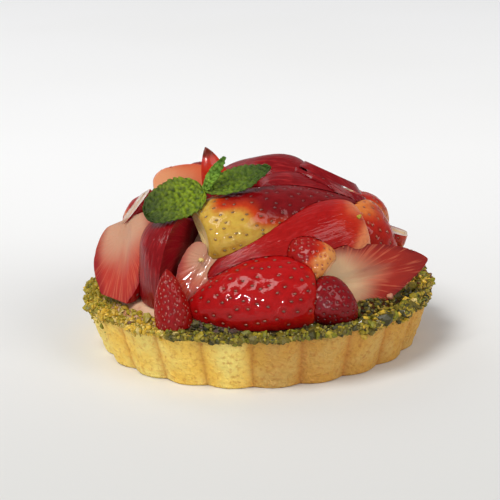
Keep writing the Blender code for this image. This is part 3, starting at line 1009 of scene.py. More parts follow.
    def whole(self, spots: np.ndarray) -> Mesh:
        """The fine form in its own frame: pitted skin, a hollow cap, and a half's cut face.

        Args:
            spots: the seeds' places on the turned form.

        Returns:
            A closed mesh whose flesh has material 1.
        """
        rim = self.cap_share * self.radius
        cap = [(rim * ring / 6, 0.0) for ring in range(6)]
        bm = revolved(cap + self.profile(self.rings, 0.0), self.around)
        for face in bm.faces:
            centre = face.calc_center_median()
            inside = centre.z < 0.01 * MM
            below = self.cut is Cut.HALF and centre.y < 0
            face.material_index = 1 if inside or below else 0
        mesh = to_mesh(self.name, bm)
        turned = points_of(mesh)
        radial = np.hypot(turned[:, 0], turned[:, 1])
        on_cap = turned[:, 2] < 0.001 * MM
        pit = np.where(on_cap, 0.0, self.pits(turned, spots))
        fade = ease(0.0, 0.04, turned[:, 2] / self.length)
        points = self.lumpy(turned) - self.outward(turned) * (pit * fade * (self.pit_depth * MM))[:, None]
        hollow = np.where(on_cap, self.cap_hollow * MM * (1 - (radial / rim) ** 2), 0.0)
        points[:, 2] += np.maximum(hollow, 0.0)
        if self.cut is Cut.HALF:
            self.press(points)
        move_points(mesh, points)
        return mesh

    def press(self, points: np.ndarray) -> None:
        """Presses what lies past a half's cut onto its face, with fibres and a sunken core.

        Args:
            points: the whole form's points, changed in place.
        """
        below = points[:, 1] < 0
        across = np.abs(points[below, 0])
        share = points[below, 2] / self.length
        edge = self.edge_share(points[below])
        calm = (1 - edge**6) * ease(0.0, 0.1, share) * (1 - ease(0.85, 1.0, share))
        ray = np.arctan2(points[below, 0], points[below, 2] - self.focus * self.length)
        fibre = self.fibre_depth * MM * np.sin(34 * ray + 1.5 * np.sin(across / (2.1 * MM)))
        core = self.core_depth * MM * (1 - ease(0.05, 0.3, edge)) * (1 - ease(0.45, 0.8, share))
        points[below, 1] = calm * (fibre + core + self.face_depth * MM)

    def block(self, distance: float, normal: Vector) -> Mesh:
        """A finely divided block whose face lies on a cut, to cut away what is past it.

        Args:
            distance: from the axis to the cut, in metres.
            normal: the way that the cut faces.

        Returns:
            The block's mesh.
        """
        size = self.block_size * MM
        bm = bmesh.new()
        bmesh.ops.create_cube(bm, size=size)
        bmesh.ops.subdivide_edges(bm, edges=bm.edges, cuts=self.block_cuts, use_grid_fill=True)
        bmesh.ops.translate(bm, verts=bm.verts, vec=(0, 0, size / 2 + distance))
        turn = normal.to_track_quat("Z", "Y").to_matrix()
        bmesh.ops.rotate(bm, verts=bm.verts, cent=(0, 0, 0), matrix=turn)
        bmesh.ops.translate(bm, verts=bm.verts, vec=(0, 0, self.length / 2))
        return to_mesh("block", bm)

    def drift(self, points: np.ndarray) -> np.ndarray:
        """How far the colours' edges wander along the strawberry at some points.

        Args:
            points: the points, in the strawberry's own frame.

        Returns:
            The shift at each point, as a share of the length.
        """
        share = points[:, 2] / self.length
        angle = np.arctan2(points[:, 1], points[:, 0])
        return 0.05 * np.sin(2 * angle + self.cap[1]) + 0.04 * np.sin(5 * angle + 14 * share)

    def ripe(self, points: np.ndarray) -> np.ndarray:
        """How ripe the skin is at points of the turned form, from 0 at the shoulder to 1.

        Args:
            points: points of the turned form.

        Returns:
            A share for each point.
        """
        bloom = self.ripeness.value
        share = points[:, 2] / self.length
        upward = (self.outward(points) @ np.array(self.matrix().to_3x3()).T)[:, 2]
        edge = share + self.drift(points) + bloom.sun * upward
        return ease(bloom.reach - 0.18, bloom.reach + 0.18, edge)

    def edge_share(self, points: np.ndarray) -> np.ndarray:
        """How near points are to the cut face's edge, from 0 at its axis to 1."""
        reach = np.maximum(self.reach(points[:, 2] / self.length), 0.2 * MM)
        return np.clip(np.abs(points[:, 0]) / reach, 0.0, 1.0)

    def skin_tone(self, share: np.ndarray, ripe: np.ndarray) -> np.ndarray:
        """The skin's colours, from the shoulder to the tip.

        Args:
            share: how far each point is from cap to tip.
            ripe: how ripe the skin is there.

        Returns:
            A colour for each point.
        """
        bloom = self.ripeness.value
        tone = mixed(np.tile(bloom.shoulder, (len(share), 1)), bloom.blush, ease(0.0, 0.55, ripe))
        tone = mixed(tone, bloom.skin, ease(0.45, 1.0, ripe))
        tone = mixed(tone, np.array(bloom.skin) * self.tip_shade, 0.5 * ease(0.75, 1.0, share))
        return mixed(tone, self.brown, bloom.burnt * ease(0.84, 0.93, share))

    def flesh_tone(self, share: np.ndarray, edge: np.ndarray, pale: np.ndarray) -> np.ndarray:
        """The flesh's colours, from the core to the skin.

        Args:
            share: how far each point is from cap to tip.
            edge: how near it is to the cut face's edge.
            pale: how pale the flesh is there.

        Returns:
            A colour for each point.
        """
        bloom = self.ripeness.value
        core = 0.5 * (1 - ease(0.0, 0.5, edge)) * (1 - ease(0.35, 0.7, share))
        tone = mixed(np.tile(bloom.flesh, (len(share), 1)), bloom.heart, np.maximum(pale, core))
        tone = mixed(tone, bloom.rind, ease(0.62, 1.0, edge) * (1 - 0.6 * pale))
        tone = mixed(tone, bloom.rind, 0.7 * ease(0.6, 1.0, share))
        return mixed(tone, self.brown, bloom.burnt * ease(0.84, 0.93, share))

    def grain(self, points: np.ndarray) -> tuple[np.ndarray, np.ndarray]:
        """Places for noise that runs along the flesh's fibres and along the skin's creases.

        Args:
            points: the points, in the strawberry's own frame.

        Returns:
            The fibres' places and the creases'.
        """
        onward = points[:, 2] - self.focus * self.length
        ray = np.arctan2(points[:, 0], onward)
        span = np.hypot(points[:, 0], onward)
        angle = np.arctan2(points[:, 1], points[:, 0])
        lengths = span / (self.fibre_length * MM)
        fibres = np.column_stack([ray * self.fibre_turns, lengths, span * 0 + self.cap[0]])
        around, along = self.crease_width * MM, self.crease_length * MM
        creases = np.column_stack([angle * self.radius / around, points[:, 2] / along, span * 0])
        return fibres, creases

    def paint(self, mesh: Mesh, spots: np.ndarray) -> None:
        """Stores the tone, with painted shade on the pressed faces, the fibres' grain and the hollows,
        where the skin is painted with shade.

        Args:
            mesh: the finished strawberry, in its place.
            spots: the seeds' places on the turned form.
        """
        corners = np.zeros(len(mesh.loops), np.int32)
        mesh.loops.foreach_get("vertex_index", corners)
        kind = np.zeros(len(mesh.polygons), np.int32)
        mesh.polygons.foreach_get("material_index", kind)
        sides = np.zeros(len(mesh.polygons), np.int32)
        mesh.polygons.foreach_get("loop_total", sides)
        kind = np.repeat(kind, sides)
        on_skin, on_flesh, on_dent = (kind == index for index in range(3))
        own = np.array(self.matrix().inverted())
        points = points_of(mesh) @ own[:3, :3].T + own[:3, 3]
        share = points[:, 2] / self.length
        edge = self.edge_share(points)
        bloom = self.ripeness.value
        turned = np.column_stack([points[:, 0], points[:, 1] / self.flat, points[:, 2]])
        ripe = self.ripe(turned)
        run = share + 0.25 * edge**2 + 0.5 * self.drift(points) - 0.05
        pale = 1 - ease(bloom.pale - 0.24, bloom.pale + 0.24, run)
        skin, flesh = self.skin_tone(share, ripe), self.flesh_tone(share, edge, pale)
        tone = np.where(on_skin[:, None], skin[corners], flesh[corners])
        # Painted shade: faces pressed against neighbours or the cream are painted as darkened skin.
        tone = np.where(on_dent[:, None], np.array(bloom.skin) * self.dent_shade, tone)
        store(mesh, "tone", "FLOAT_COLOR", "CORNER", tone)
        # The skin's material paints shade in these hollows.
        hollow = self.pits(turned, spots) * (0.25 + 0.75 * ripe)
        streaky = bloom.streak * (1 - 0.8 * pale) * ease(0.2, 0.6, np.maximum(edge, share))
        store(mesh, "pit", "FLOAT", "CORNER", np.where(on_flesh, streaky[corners], hollow[corners]))
        fibres, creases = self.grain(points)
        runs = np.where(on_flesh[:, None], fibres[corners], creases[corners])
        store(mesh, "grain", "FLOAT_VECTOR", "CORNER", runs)
        store(mesh, "crease", "FLOAT", "POINT", np.full(len(points), self.creased))

    def made(self, neighbours: list["Berry"], slots: list[Material]) -> Mesh:
        """The finished strawberry in its place, fitted round its neighbours.

        Args:
            neighbours: the strawberries that keep their form where this one meets them.
            slots: the materials of the skin, the flesh and the dents.

        Returns:
            The mesh, painted.
        """
        spots = self.seed_spots() if self.seeded else np.empty((0, 3))
        mesh = self.whole(spots)
        if self.cut is not Cut.HALF:
            blocks = [self.block(distance, normal) for distance, normal in self.knives()]
            mesh = cut(mesh, blocks, slots[:2])
        mesh.transform(self.matrix())
        cutters = [other.grown(Fruit.gap) for other in neighbours]
        half = 80 * MM
        bm = bmesh.new()
        bmesh.ops.create_cube(bm, size=2 * half)
        bmesh.ops.translate(bm, verts=bm.verts, vec=(0, 0, self.rest * MM - half))
        cutters.append(to_mesh("rest", bm))
        mesh = cut(mesh, cutters, slots)
        self.paint(mesh, spots)
        mesh.shade_smooth()
        mesh.set_sharp_from_angle(angle=self.sharp_angle)
        return mesh

    def seeds(self, tree: BVHTree, rng: random.Random) -> tuple[list[Matrix], list[Colour]]:
        """Where the strawberry's seeds lie and their colours, for those still on its skin.

        Args:
            tree: the finished strawberry's surface.
            rng: the source of small differences.

        Returns:
            The seeds' places and tones.
        """
        if not self.seeded:
            return [], []
        spots = self.seed_spots()
        ways = self.outward(spots)
        centres = self.lumpy(spots) - ways * (self.pit_depth * MM * 0.75)
        matrix = self.matrix()
        size = 0.018 * self.width * MM + 0.15 * MM
        ripe = self.ripe(spots)
        places, tones = [], []
        for centre, way, ripe_here in zip(centres, ways, ripe):
            spot = matrix @ Vector(centre)
            normal = (matrix.to_3x3() @ Vector(way)).normalized()
            _, found, _, gap = tree.find_nearest(spot)
            if gap is None or gap > self.seed_reach * MM or found.dot(normal) < 0.75:
                continue
            along = matrix.to_3x3() @ Vector((0, 0, 1))
            along = (along - normal * along.dot(normal)).normalized()
            turn = Matrix((along.cross(normal), along, normal)).transposed().to_4x4()
            turn = turn @ Matrix.Rotation(rng.uniform(-self.seed_lean, self.seed_lean), 4, "Z")
            scale = Matrix.Diagonal((*(size * stretch for stretch in self.seed_shape), 1.0))
            places.append(Matrix.Translation(spot) @ turn @ scale)
            shade = rng.uniform(*self.seed_shade)
            bloom = self.ripeness.value
            sunk = np.array(bloom.seed) * (1 - ripe_here) + np.array(bloom.skin) * ripe_here
            tone = sunk if bloom.sun else np.array(bloom.seed)
            tones.append(tuple(tone * shade))
        return places, tones


@dataclass(frozen=True)
class Fruit:
    """The heap of strawberries: those that show from the front, and those of the far side."""

    gap: float = 0.14 * MM
    press: float = -0.2 * MM
    heap_radius: float = 46.0
    heap_foot: float = 12.0
    heap_rise: float = 43.0
    heap_power: float = 2.5
    seed: int = 11
    near_gap: float = 1.0
    near_steps: int = 8
    level_rise: float = 10.0
    level_tilt: float = 1.0
    upright_tilt: float = 0.45

    def front(self) -> list[Berry]:
        """The strawberries that show from the front, the foremost first.

        Returns:
            The list of them.
        """
        return [
            Berry("berry_front", (15.5, -34.0, 22.7), (-20.0, -35.0, 19.0), (0.02, -0.95, 0.25), 23.0,
                  Ripeness.RIPE, taper=2.3),
            Berry("berry_front_left", (-21.6, -37.5, 8.0), (-24.0, -35.5, 31.0), (-0.15, -0.97, 0.2), 10.5,
                  Ripeness.GLAZED, taper=2.2),
            Berry("berry_front_right", (13.5, -36.5, 23.5), (26.0, -37.5, 16.5), (0.3, -0.9, 0.3), 13.0,
                  Ripeness.DEEP, taper=2.2),
            Berry("berry_right_cut", (17.5, -34.5, 24.2), (47.3, -13.0, 24.6), (-0.56, 0.77, -0.3), 19.0,
                  Ripeness.CREAMY, taper=1.5),
            Berry("berry_middle_small", (18.5, -33.0, 28.0), (6.5, -27.5, 35.0), (0.1, -0.9, 0.45), 12.5,
                  Ripeness.GLOW),
            Berry("berry_middle_long", (28.4, -15.0, 34.7), (-14.2, -31.5, 26.3), (0.1, -0.8, 0.6), 21.5,
                  Ripeness.FLAME, taper=2.8, seeded=False, creased=0.9),
            Berry("berry_centre", (-15.2, -25.5, 36.8), (28.0, -7.0, 40.0), (-0.1, -0.75, 0.65), 21.6,
                  Ripeness.UNRIPE, taper=1.6),
            Berry("berry_middle_pale", (-11.3, -30.2, 34.1), (-20.5, -33.5, 21.0), (0.1, 0.9, -0.3), 13.5,
                  Ripeness.PEACH),
            Berry("berry_left_dark", (-14.9, -17.1, 39.3), (-20.9, -24.6, 7.4), (-0.85, 0.53, 0.0), 33.0,
                  Ripeness.PLUM, taper=3.0, rest=18.5, seeded=False, creased=1.0),
            Berry("berry_left_pale", (-36.7, -6.3, 37.0), (-38.1, -25.3, 16.0), (0.6, 0.6, -0.35), 22.6,
                  Ripeness.ROSY, rest=18.5),
            Berry("berry_left_upper", (-31.0, 1.5, 43.0), (-39.0, -5.0, 33.5), (0.7, -0.05, -0.7), 16.0,
                  Ripeness.PALE, seeded=False, creased=0.8),
            Berry("berry_top_tip", (-10.5, 3.0, 38.0), (-13.6, -1.0, 55.8), (0.25, -0.95, 0.2), 12.5,
                  Ripeness.EMBER, Cut.QUARTER, spread=50.0, seeded=False, creased=0.3),
            Berry("berry_top_left", (-28.0, 3.0, 38.5), (-5.0, 6.0, 42.0), (-0.3, -0.6, 0.75), 22.0,
                  Ripeness.ORANGE, Cut.SLICE, slab=(-3.0, 5.0)),
            Berry("berry_crown_back", (14.5, 2.5, 44.0), (-12.0, 5.0, 45.5), (0.0, -0.5, 0.86), 16.0,
                  Ripeness.DEEP, seeded=False, creased=1.0),
            Berry("berry_crown_front", (0.5, -8.0, 41.5), (26.0, -5.0, 39.5), (0.0, -0.6, 0.8), 17.0,
                  Ripeness.DEEP, seeded=False, creased=1.0),
            Berry("berry_fan_upper", (11.0, 5.0, 43.7), (31.5, -4.0, 35.2), (0.42, 0.2, 0.88), 20.0,
                  Ripeness.DEEP, Cut.SLICE, slab=(4.6, 6.6), seeded=False, creased=0.8),
            Berry("berry_fan_middle", (10.0, 4.5, 44.0), (32.0, -5.0, 35.2), (0.42, 0.2, 0.88), 20.0,
                  Ripeness.DEEP, Cut.SLICE, slab=(2.3, 4.2), seeded=False, creased=0.8),
            Berry("berry_fan_lower", (9.0, 4.0, 44.2), (32.5, -6.0, 35.2), (0.42, 0.2, 0.88), 20.0,
                  Ripeness.DEEP, Cut.SLICE, slab=(0.0, 1.9), seeded=False, creased=0.8),
            Berry("berry_right_shoulder", (24.0, -4.5, 37.0), (36.5, -11.0, 14.0), (0.75, -0.5, 0.4), 21.5,
                  Ripeness.BRIGHT),
            Berry("berry_far_right", (43.0, 1.0, 28.0), (28.0, 3.0, 33.0), (0.1, -0.15, -1.0), 15.0,
                  Ripeness.CREAMY),
            Berry("berry_under_mint", (-22.0, -8.5, 37.5), (1.0, -9.5, 40.0), (-0.1, -0.2, 1.0), 15.0,
                  Ripeness.DEEP),
        ]

    def heap_point(self, azimuth: float, height: float, inset: float) -> Vector:
        """A point of the heap's rounded outline, moved in by an inset, in millimetres.

        Args:
            azimuth: which way it lies, in degrees.
            height: how high it is.
            inset: how far inside the outline.

        Returns:
            The point.
        """
        rise = min(1.0, max(0.0, height - self.heap_foot) / (self.heap_rise - inset))
        radius = (self.heap_radius - inset) * (1 - rise**self.heap_power) ** (1 / self.heap_power)
        turn = math.radians(azimuth)
        return Vector((radius * math.cos(turn), radius * math.sin(turn), height))

    def back(self) -> list[Berry]:
        """The strawberries of the far side, laid against the heap's outline.

        Each row has the cap's azimuth and height, the tip's, the width, the inset, whether the skin
        faces out, and the ripeness.

        Returns:
            The list of them.
        """
        rows = (
            (19.0, 16.0, 22.0, 35.0, 20.0, 9.5, True, Ripeness.RIPE),
            (45.0, 36.0, 43.0, 16.5, 22.0, 3.5, False, Ripeness.CREAMY),
            (68.0, 17.0, 69.0, 38.0, 22.0, 9.0, True, Ripeness.RIPE),
            (92.0, 37.0, 92.0, 14.0, 23.0, 8.5, True, Ripeness.BRIGHT),
            (116.0, 16.0, 114.0, 37.0, 21.0, 3.0, False, Ripeness.CREAMY),
            (139.0, 38.0, 141.0, 14.0, 22.0, 8.5, True, Ripeness.RIPE),
            (164.0, 16.0, 161.0, 35.0, 20.0, 9.0, True, Ripeness.DEEP),
            (38.0, 32.5, 84.0, 36.5, 19.0, 10.0, True, Ripeness.DEEP),
            (141.0, 35.5, 96.0, 37.5, 21.0, 10.0, True, Ripeness.UNRIPE),
            (60.0, 39.0, 125.0, 40.0, 17.0, 9.5, True, Ripeness.RIPE),
            (10.0, 29.0, 34.0, 34.0, 17.0, 9.0, True, Ripeness.BRIGHT),
            (168.0, 29.0, 146.0, 38.0, 17.0, 8.0, True, Ripeness.CREAMY),
        )
        made = []
        for index, row in enumerate(rows, start=1):
            cap_turn, cap_height, tip_turn, tip_height, width, inset, skin_outside, ripeness = row
            cap = self.heap_point(cap_turn, cap_height, inset)
            tip = self.heap_point(tip_turn, tip_height, inset)
            middle = (cap + tip) / 2
            level = abs(cap_height - tip_height) < self.level_rise
            tilt = self.level_tilt if level else self.upright_tilt
            out = Vector((middle.x, middle.y, 0)).normalized() + Vector((0, 0, tilt))
            out = out if skin_outside else -out
            made.append(Berry(f"berry_back_{index}", tuple(cap), tuple(tip), tuple(out), width, ripeness))
        return made

    def near(self, first: Berry, second: Berry) -> bool:
        """Whether two strawberries may touch.

        Args:
            first: a strawberry.
            second: another one.

        Returns:
            True if they come close.
        """
        ends = [(Vector(berry.cap), Vector(berry.tip)) for berry in (first, second)]
        reach = (first.width + second.width) / 2 + self.near_gap
        steps = [step / self.near_steps for step in range(self.near_steps + 1)]
        spans = [[start.lerp(end, step) for step in steps] for start, end in ends]
        return any((a - b).length < reach for a in spans[0] for b in spans[1])

    def build(self) -> list[Object]:
        """Makes every strawberry and the seeds on them.

        Returns:
            The strawberries' objects.
        """
        skin = SkinFinish().material()
        flesh = FleshFinish().material()
        slots = [skin, flesh, skin]
        berries = self.front() + self.back()
        rng = random.Random(self.seed)
        objects, places, tones = [], [], []
        for index, berry in enumerate(berries):
            neighbours = [other for other in berries[:index] if self.near(berry, other)]
            mesh = berry.made(neighbours, slots)
            objects.append(piece(berry.name + "_fruit", mesh, (berry.name,)))
            tree = BVHTree.FromPolygons([v.co for v in mesh.vertices], [f.vertices for f in mesh.polygons])
            found, colours = berry.seeds(tree, rng)
            places += found
            tones += colours
        bm = bmesh.new()
        bmesh.ops.create_uvsphere(bm, u_segments=6, v_segments=5, radius=1.0)
        for vert in bm.verts:
            vert.co.x *= 1 - 0.3 * vert.co.y
        seeds = scattered("berry_seeds", [to_mesh("seed", bm)], places, tones)
        seeds.materials.append(SeedFinish().material())
        seeds.shade_smooth()
        piece("berry_seeds", seeds)
        LOG.info("seeds: %d", len(places))
        return objects


@dataclass(frozen=True)
class Crust:
    """The fluted pastry shell, in millimetres."""

    rim_radius: float = 50.0
    foot_radius: float = 45.2
    height: float = 15.5
    wall: float = 4.6
    floor: float = 4.0
    edge_round: float = 0.8
    flutes: int = 22
    flute_depth: float = 1.7
    flute_phase: float = math.radians(-92.9)
    steps_a_flute: int = 34
    wall_steps: int = 44
    round_steps: int = 4
    flat_foot: tuple[float, float] = (36.0, 44.4)
    highest_lump: float = 0.25
    top_lumps: float = 0.8
    baked: Arc = (-100.0, -86.0, 20.0, 60.0)
    bake_depth: float = 0.58
    bare: Arc = (-150.0, -138.0, -60.0, -48.0)

    def groove(self, angle: np.ndarray) -> np.ndarray:
        """How deep in a groove an angle is, from 0 on a flute's crown to 1 between two."""
        return 1 - np.abs(np.sin(self.flutes * (angle - self.flute_phase) / 2))

    def profile(self) -> Outline:
        """The turned outline in metres: foot, outer wall, rounded rim, inside wall and floor.

        Returns:
            The radius and height of each point.
        """
        slope = (self.rim_radius - self.foot_radius) / self.height
        made = [(self.foot_radius * share, 0.0) for share in (0.0, 0.3, 0.6, 0.8, 0.9, 0.95)]
        foot = self.foot_radius - self.edge_round
        for step in range(self.round_steps + 1):
            turn = math.pi / 2 * step / self.round_steps
            radius = foot + self.edge_round * math.sin(turn)
            made.append((radius, self.edge_round * (1 - math.cos(turn))))
        low, high = self.edge_round, self.height - self.edge_round
        for step in range(1, self.wall_steps + 1):
            height = low + (high - low) * step / self.wall_steps
            made.append((self.foot_radius + slope * (height - low), height))
        for step in range(1, self.round_steps + 1):
            turn = math.pi / 2 * step / self.round_steps
            radius = self.rim_radius - self.edge_round * (1 - math.cos(turn))
            made.append((radius, high + self.edge_round * math.sin(turn)))
        crest, level = self.rim_radius - self.edge_round, self.wall - 2 * self.edge_round
        for step in range(1, 8):
            made.append((crest - level * step / 8, self.height))
        inner = self.rim_radius - self.wall
        made.append((inner + self.edge_round, self.height))
        made.append((inner, high))
        made.append((inner - (self.rim_radius - self.foot_radius) * 0.6, self.floor + 2))
        made.append((self.foot_radius - self.wall, self.floor))
        made.append((0.0, self.floor))
        return [(radius * MM, height * MM) for radius, height in made]

    def build(self) -> Object:
        """Makes the shell, fluted and crumbly.

        Returns:
            The shell's object.
        """
        mesh = to_mesh("crust", revolved(self.profile(), self.flutes * self.steps_a_flute))
        points = points_of(mesh)
        angle = np.arctan2(points[:, 1], points[:, 0])
        radius = np.hypot(points[:, 0], points[:, 1])
        inner = (self.rim_radius - self.wall + self.edge_round) * MM
        outer = self.rim_radius * MM
        top = points[:, 2] > (self.height - self.edge_round / 2) * MM
        slope = (self.rim_radius - self.foot_radius) / self.height
        wall_line = self.foot_radius * MM + slope * points[:, 2]
        inside = (radius < wall_line - 2 * MM) & (points[:, 2] > 3 * MM) & ~top
        share = np.where(top, 0.8 * ease(inner, outer - self.edge_round * MM, radius), 1.0)
        share = np.where(inside, 0.0, share)
        flat, fluted = self.flat_foot
        share = np.where(points[:, 2] < 0.01 * MM, ease(flat * MM, fluted * MM, radius), share)
        groove = self.groove(angle)
        reach = radius - share * groove * self.flute_depth * MM
        way = np.column_stack([np.cos(angle), np.sin(angle)])
        open_side = (points[:, 2] > 0.3 * MM) & ~inside
        ruggedness = np.where(open_side, 1.0, 0.0)
        lumps = np.array([self.crumb(point) for point in points])
        reach = reach + ruggedness * np.minimum(lumps, self.highest_lump) * MM
        points[:, :2] = way * reach[:, None]
        points[:, 2] += np.where(top & ~inside, lumps * self.top_lumps * MM, 0.0)
        move_points(mesh, points)
        # The groove share lets the material paint shade in the grooves.
        store(mesh, "groove", "FLOAT", "POINT", groove**4 * share)
        store(mesh, "dust", "FLOAT", "POINT", self.dusting(points, angle))
        store(mesh, "bake", "FLOAT", "POINT", self.bake_depth * between(self.baked, np.degrees(angle)))
        mesh.materials.append(CrustFinish().material())
        mesh.shade_smooth()
        return piece("crust", mesh, ("tart_shell",))

    def crumb(self, point: np.ndarray) -> float:
        """The relief of the baked crumb at a point, in millimetres.

        Args:
            point: the point, in metres.

        Returns:
            How far the surface stands out.
        """
        place = Vector(point) / MM
        broad = 0.28 * noise.noise(place / 5.5)
        middle = 0.30 * noise.noise(place / 1.7)
        fine = 0.16 * noise.noise(place / 0.7)
        crack = -0.20 * max(0.0, noise.noise(place / 2.6 + Vector((9, 4, 2))) - 0.42)
        return broad + middle + fine + crack

    def dusting(self, points: np.ndarray, angle: np.ndarray) -> np.ndarray:
        """How thick the nut dust lies, most on the rim and fading down the wall.

        Args:
            points: the shell's points.
            angle: their azimuths.

        Returns:
            A share for each point.
        """
        drop = (self.height * MM - points[:, 2]) / MM
        ragged = 1.6 * np.sin(7 * angle) + 1.1 * np.sin(17 * angle + 1)
        bare = between(self.bare, np.degrees(angle))
        return (1 - ease(0.5, 4.5, drop + 0.4 * ragged)) * (1 - 0.85 * bare)


@dataclass(frozen=True)
class Cream:
    """The cream between the crust and the fruit, dented by every strawberry."""

    inset: float = 13.0
    steps: int = 150
    gap: float = 0.3
    wall_gap: float = 0.35
    edge_height: float = 13.4
    edge_cut: float = 0.4
    shoulder: tuple[float, float] = (41.5, 18.0)
    shoulder_steps: int = 8
    swell: float = 0.5
    dome_foot: float = 20.0
    dome_steps: int = 15
    sharp_angle: float = math.radians(50)
    # Where the cream is painted dark, as juice and as painted shade under the fruit.
    wet: Arc = (-127.0, -120.0, 10.0, 30.0)

    def profile(self, fruit: Fruit, crust: Crust) -> Outline:
        """The turned outline in metres: floor, wall, the strip beside the fruit, and a dome under it.

        Args:
            fruit: the heap that presses into it.
            crust: the shell that it fills.

        Returns:
            The radius and height of each point.
        """
        floor, edge = crust.floor + self.gap, self.edge_height
        foot = crust.foot_radius - crust.wall - self.gap
        rim = crust.rim_radius - crust.wall - self.wall_gap
        made = [(0.0, floor), (foot, floor), (rim - self.edge_cut, edge - self.edge_cut), (rim, edge)]
        radius, height = self.shoulder
        for step in range(1, self.shoulder_steps + 1):
            share = step / self.shoulder_steps
            swell = self.swell * math.sin(math.pi * share)
            made.append((rim + (radius - rim) * share + swell, edge + (height - edge) * share))
        top, reach = fruit.heap_foot + fruit.heap_rise - self.inset, fruit.heap_radius - self.inset
        power = fruit.heap_power
        for step in range(self.dome_steps + 1):
            turn = math.pi / 2 * step / self.dome_steps
            height = self.dome_foot + (top - self.dome_foot) * math.sin(turn)
            rise = min(1.0, (height - fruit.heap_foot) / (fruit.heap_rise - self.inset))
            made.append((reach * max(0.0, 1 - rise**power) ** (1 / power), height))
        return [(radius * MM, height * MM) for radius, height in made]

    def build(self, fruit: Fruit, crust: Crust) -> Object:
        """Makes the cream.

        Args:
            fruit: the heap that presses into it.
            crust: the shell that it fills.

        Returns:
            The cream's object.
        """
        mesh = to_mesh("cream", revolved(self.profile(fruit, crust), self.steps))
        finish = CreamFinish().material()
        dents = [berry.grown(Fruit.press) for berry in fruit.front() + fruit.back()]
        mesh = cut(mesh, dents, [finish])
        points = points_of(mesh)
        turn = np.degrees(np.arctan2(points[:, 1], points[:, 0]))
        # Marks where the cream is painted dark, for juice and painted shade.
        store(mesh, "juice_and_shade", "FLOAT", "POINT", between(self.wet, turn))
        mesh.shade_smooth()
        mesh.set_sharp_from_angle(angle=self.sharp_angle)
        return piece("cream", mesh, ("cream_filling",))


class Nut(Enum):
    """The tones of chopped pistachio."""

    STRAW = linear(222, 182, 54)
    LIME = linear(176, 156, 36)
    GREEN = linear(140, 136, 18)
    OLIVE = linear(118, 104, 18)
    DARK = linear(68, 64, 8)
    SKIN = linear(110, 62, 34)
    IVORY = linear(228, 202, 122)
    ROSE = linear(196, 130, 100)


@dataclass(frozen=True)
class Sector:
    """How the crumbs lie from one azimuth to the next, in degrees and millimetres.

    inner is the radius that they start at, and spill how far they run down the outside of the crust.
    """

    start: float
    end: float
    density: float
    size: float
    inner: float
    spill: float
    tones: tuple[Nut, ...]

    @property
    def wet(self) -> bool:
        """Whether the crumbs are painted darker, for the fruit's juice and as painted shade under the
        fruit.
        """
        return self.inner < 40


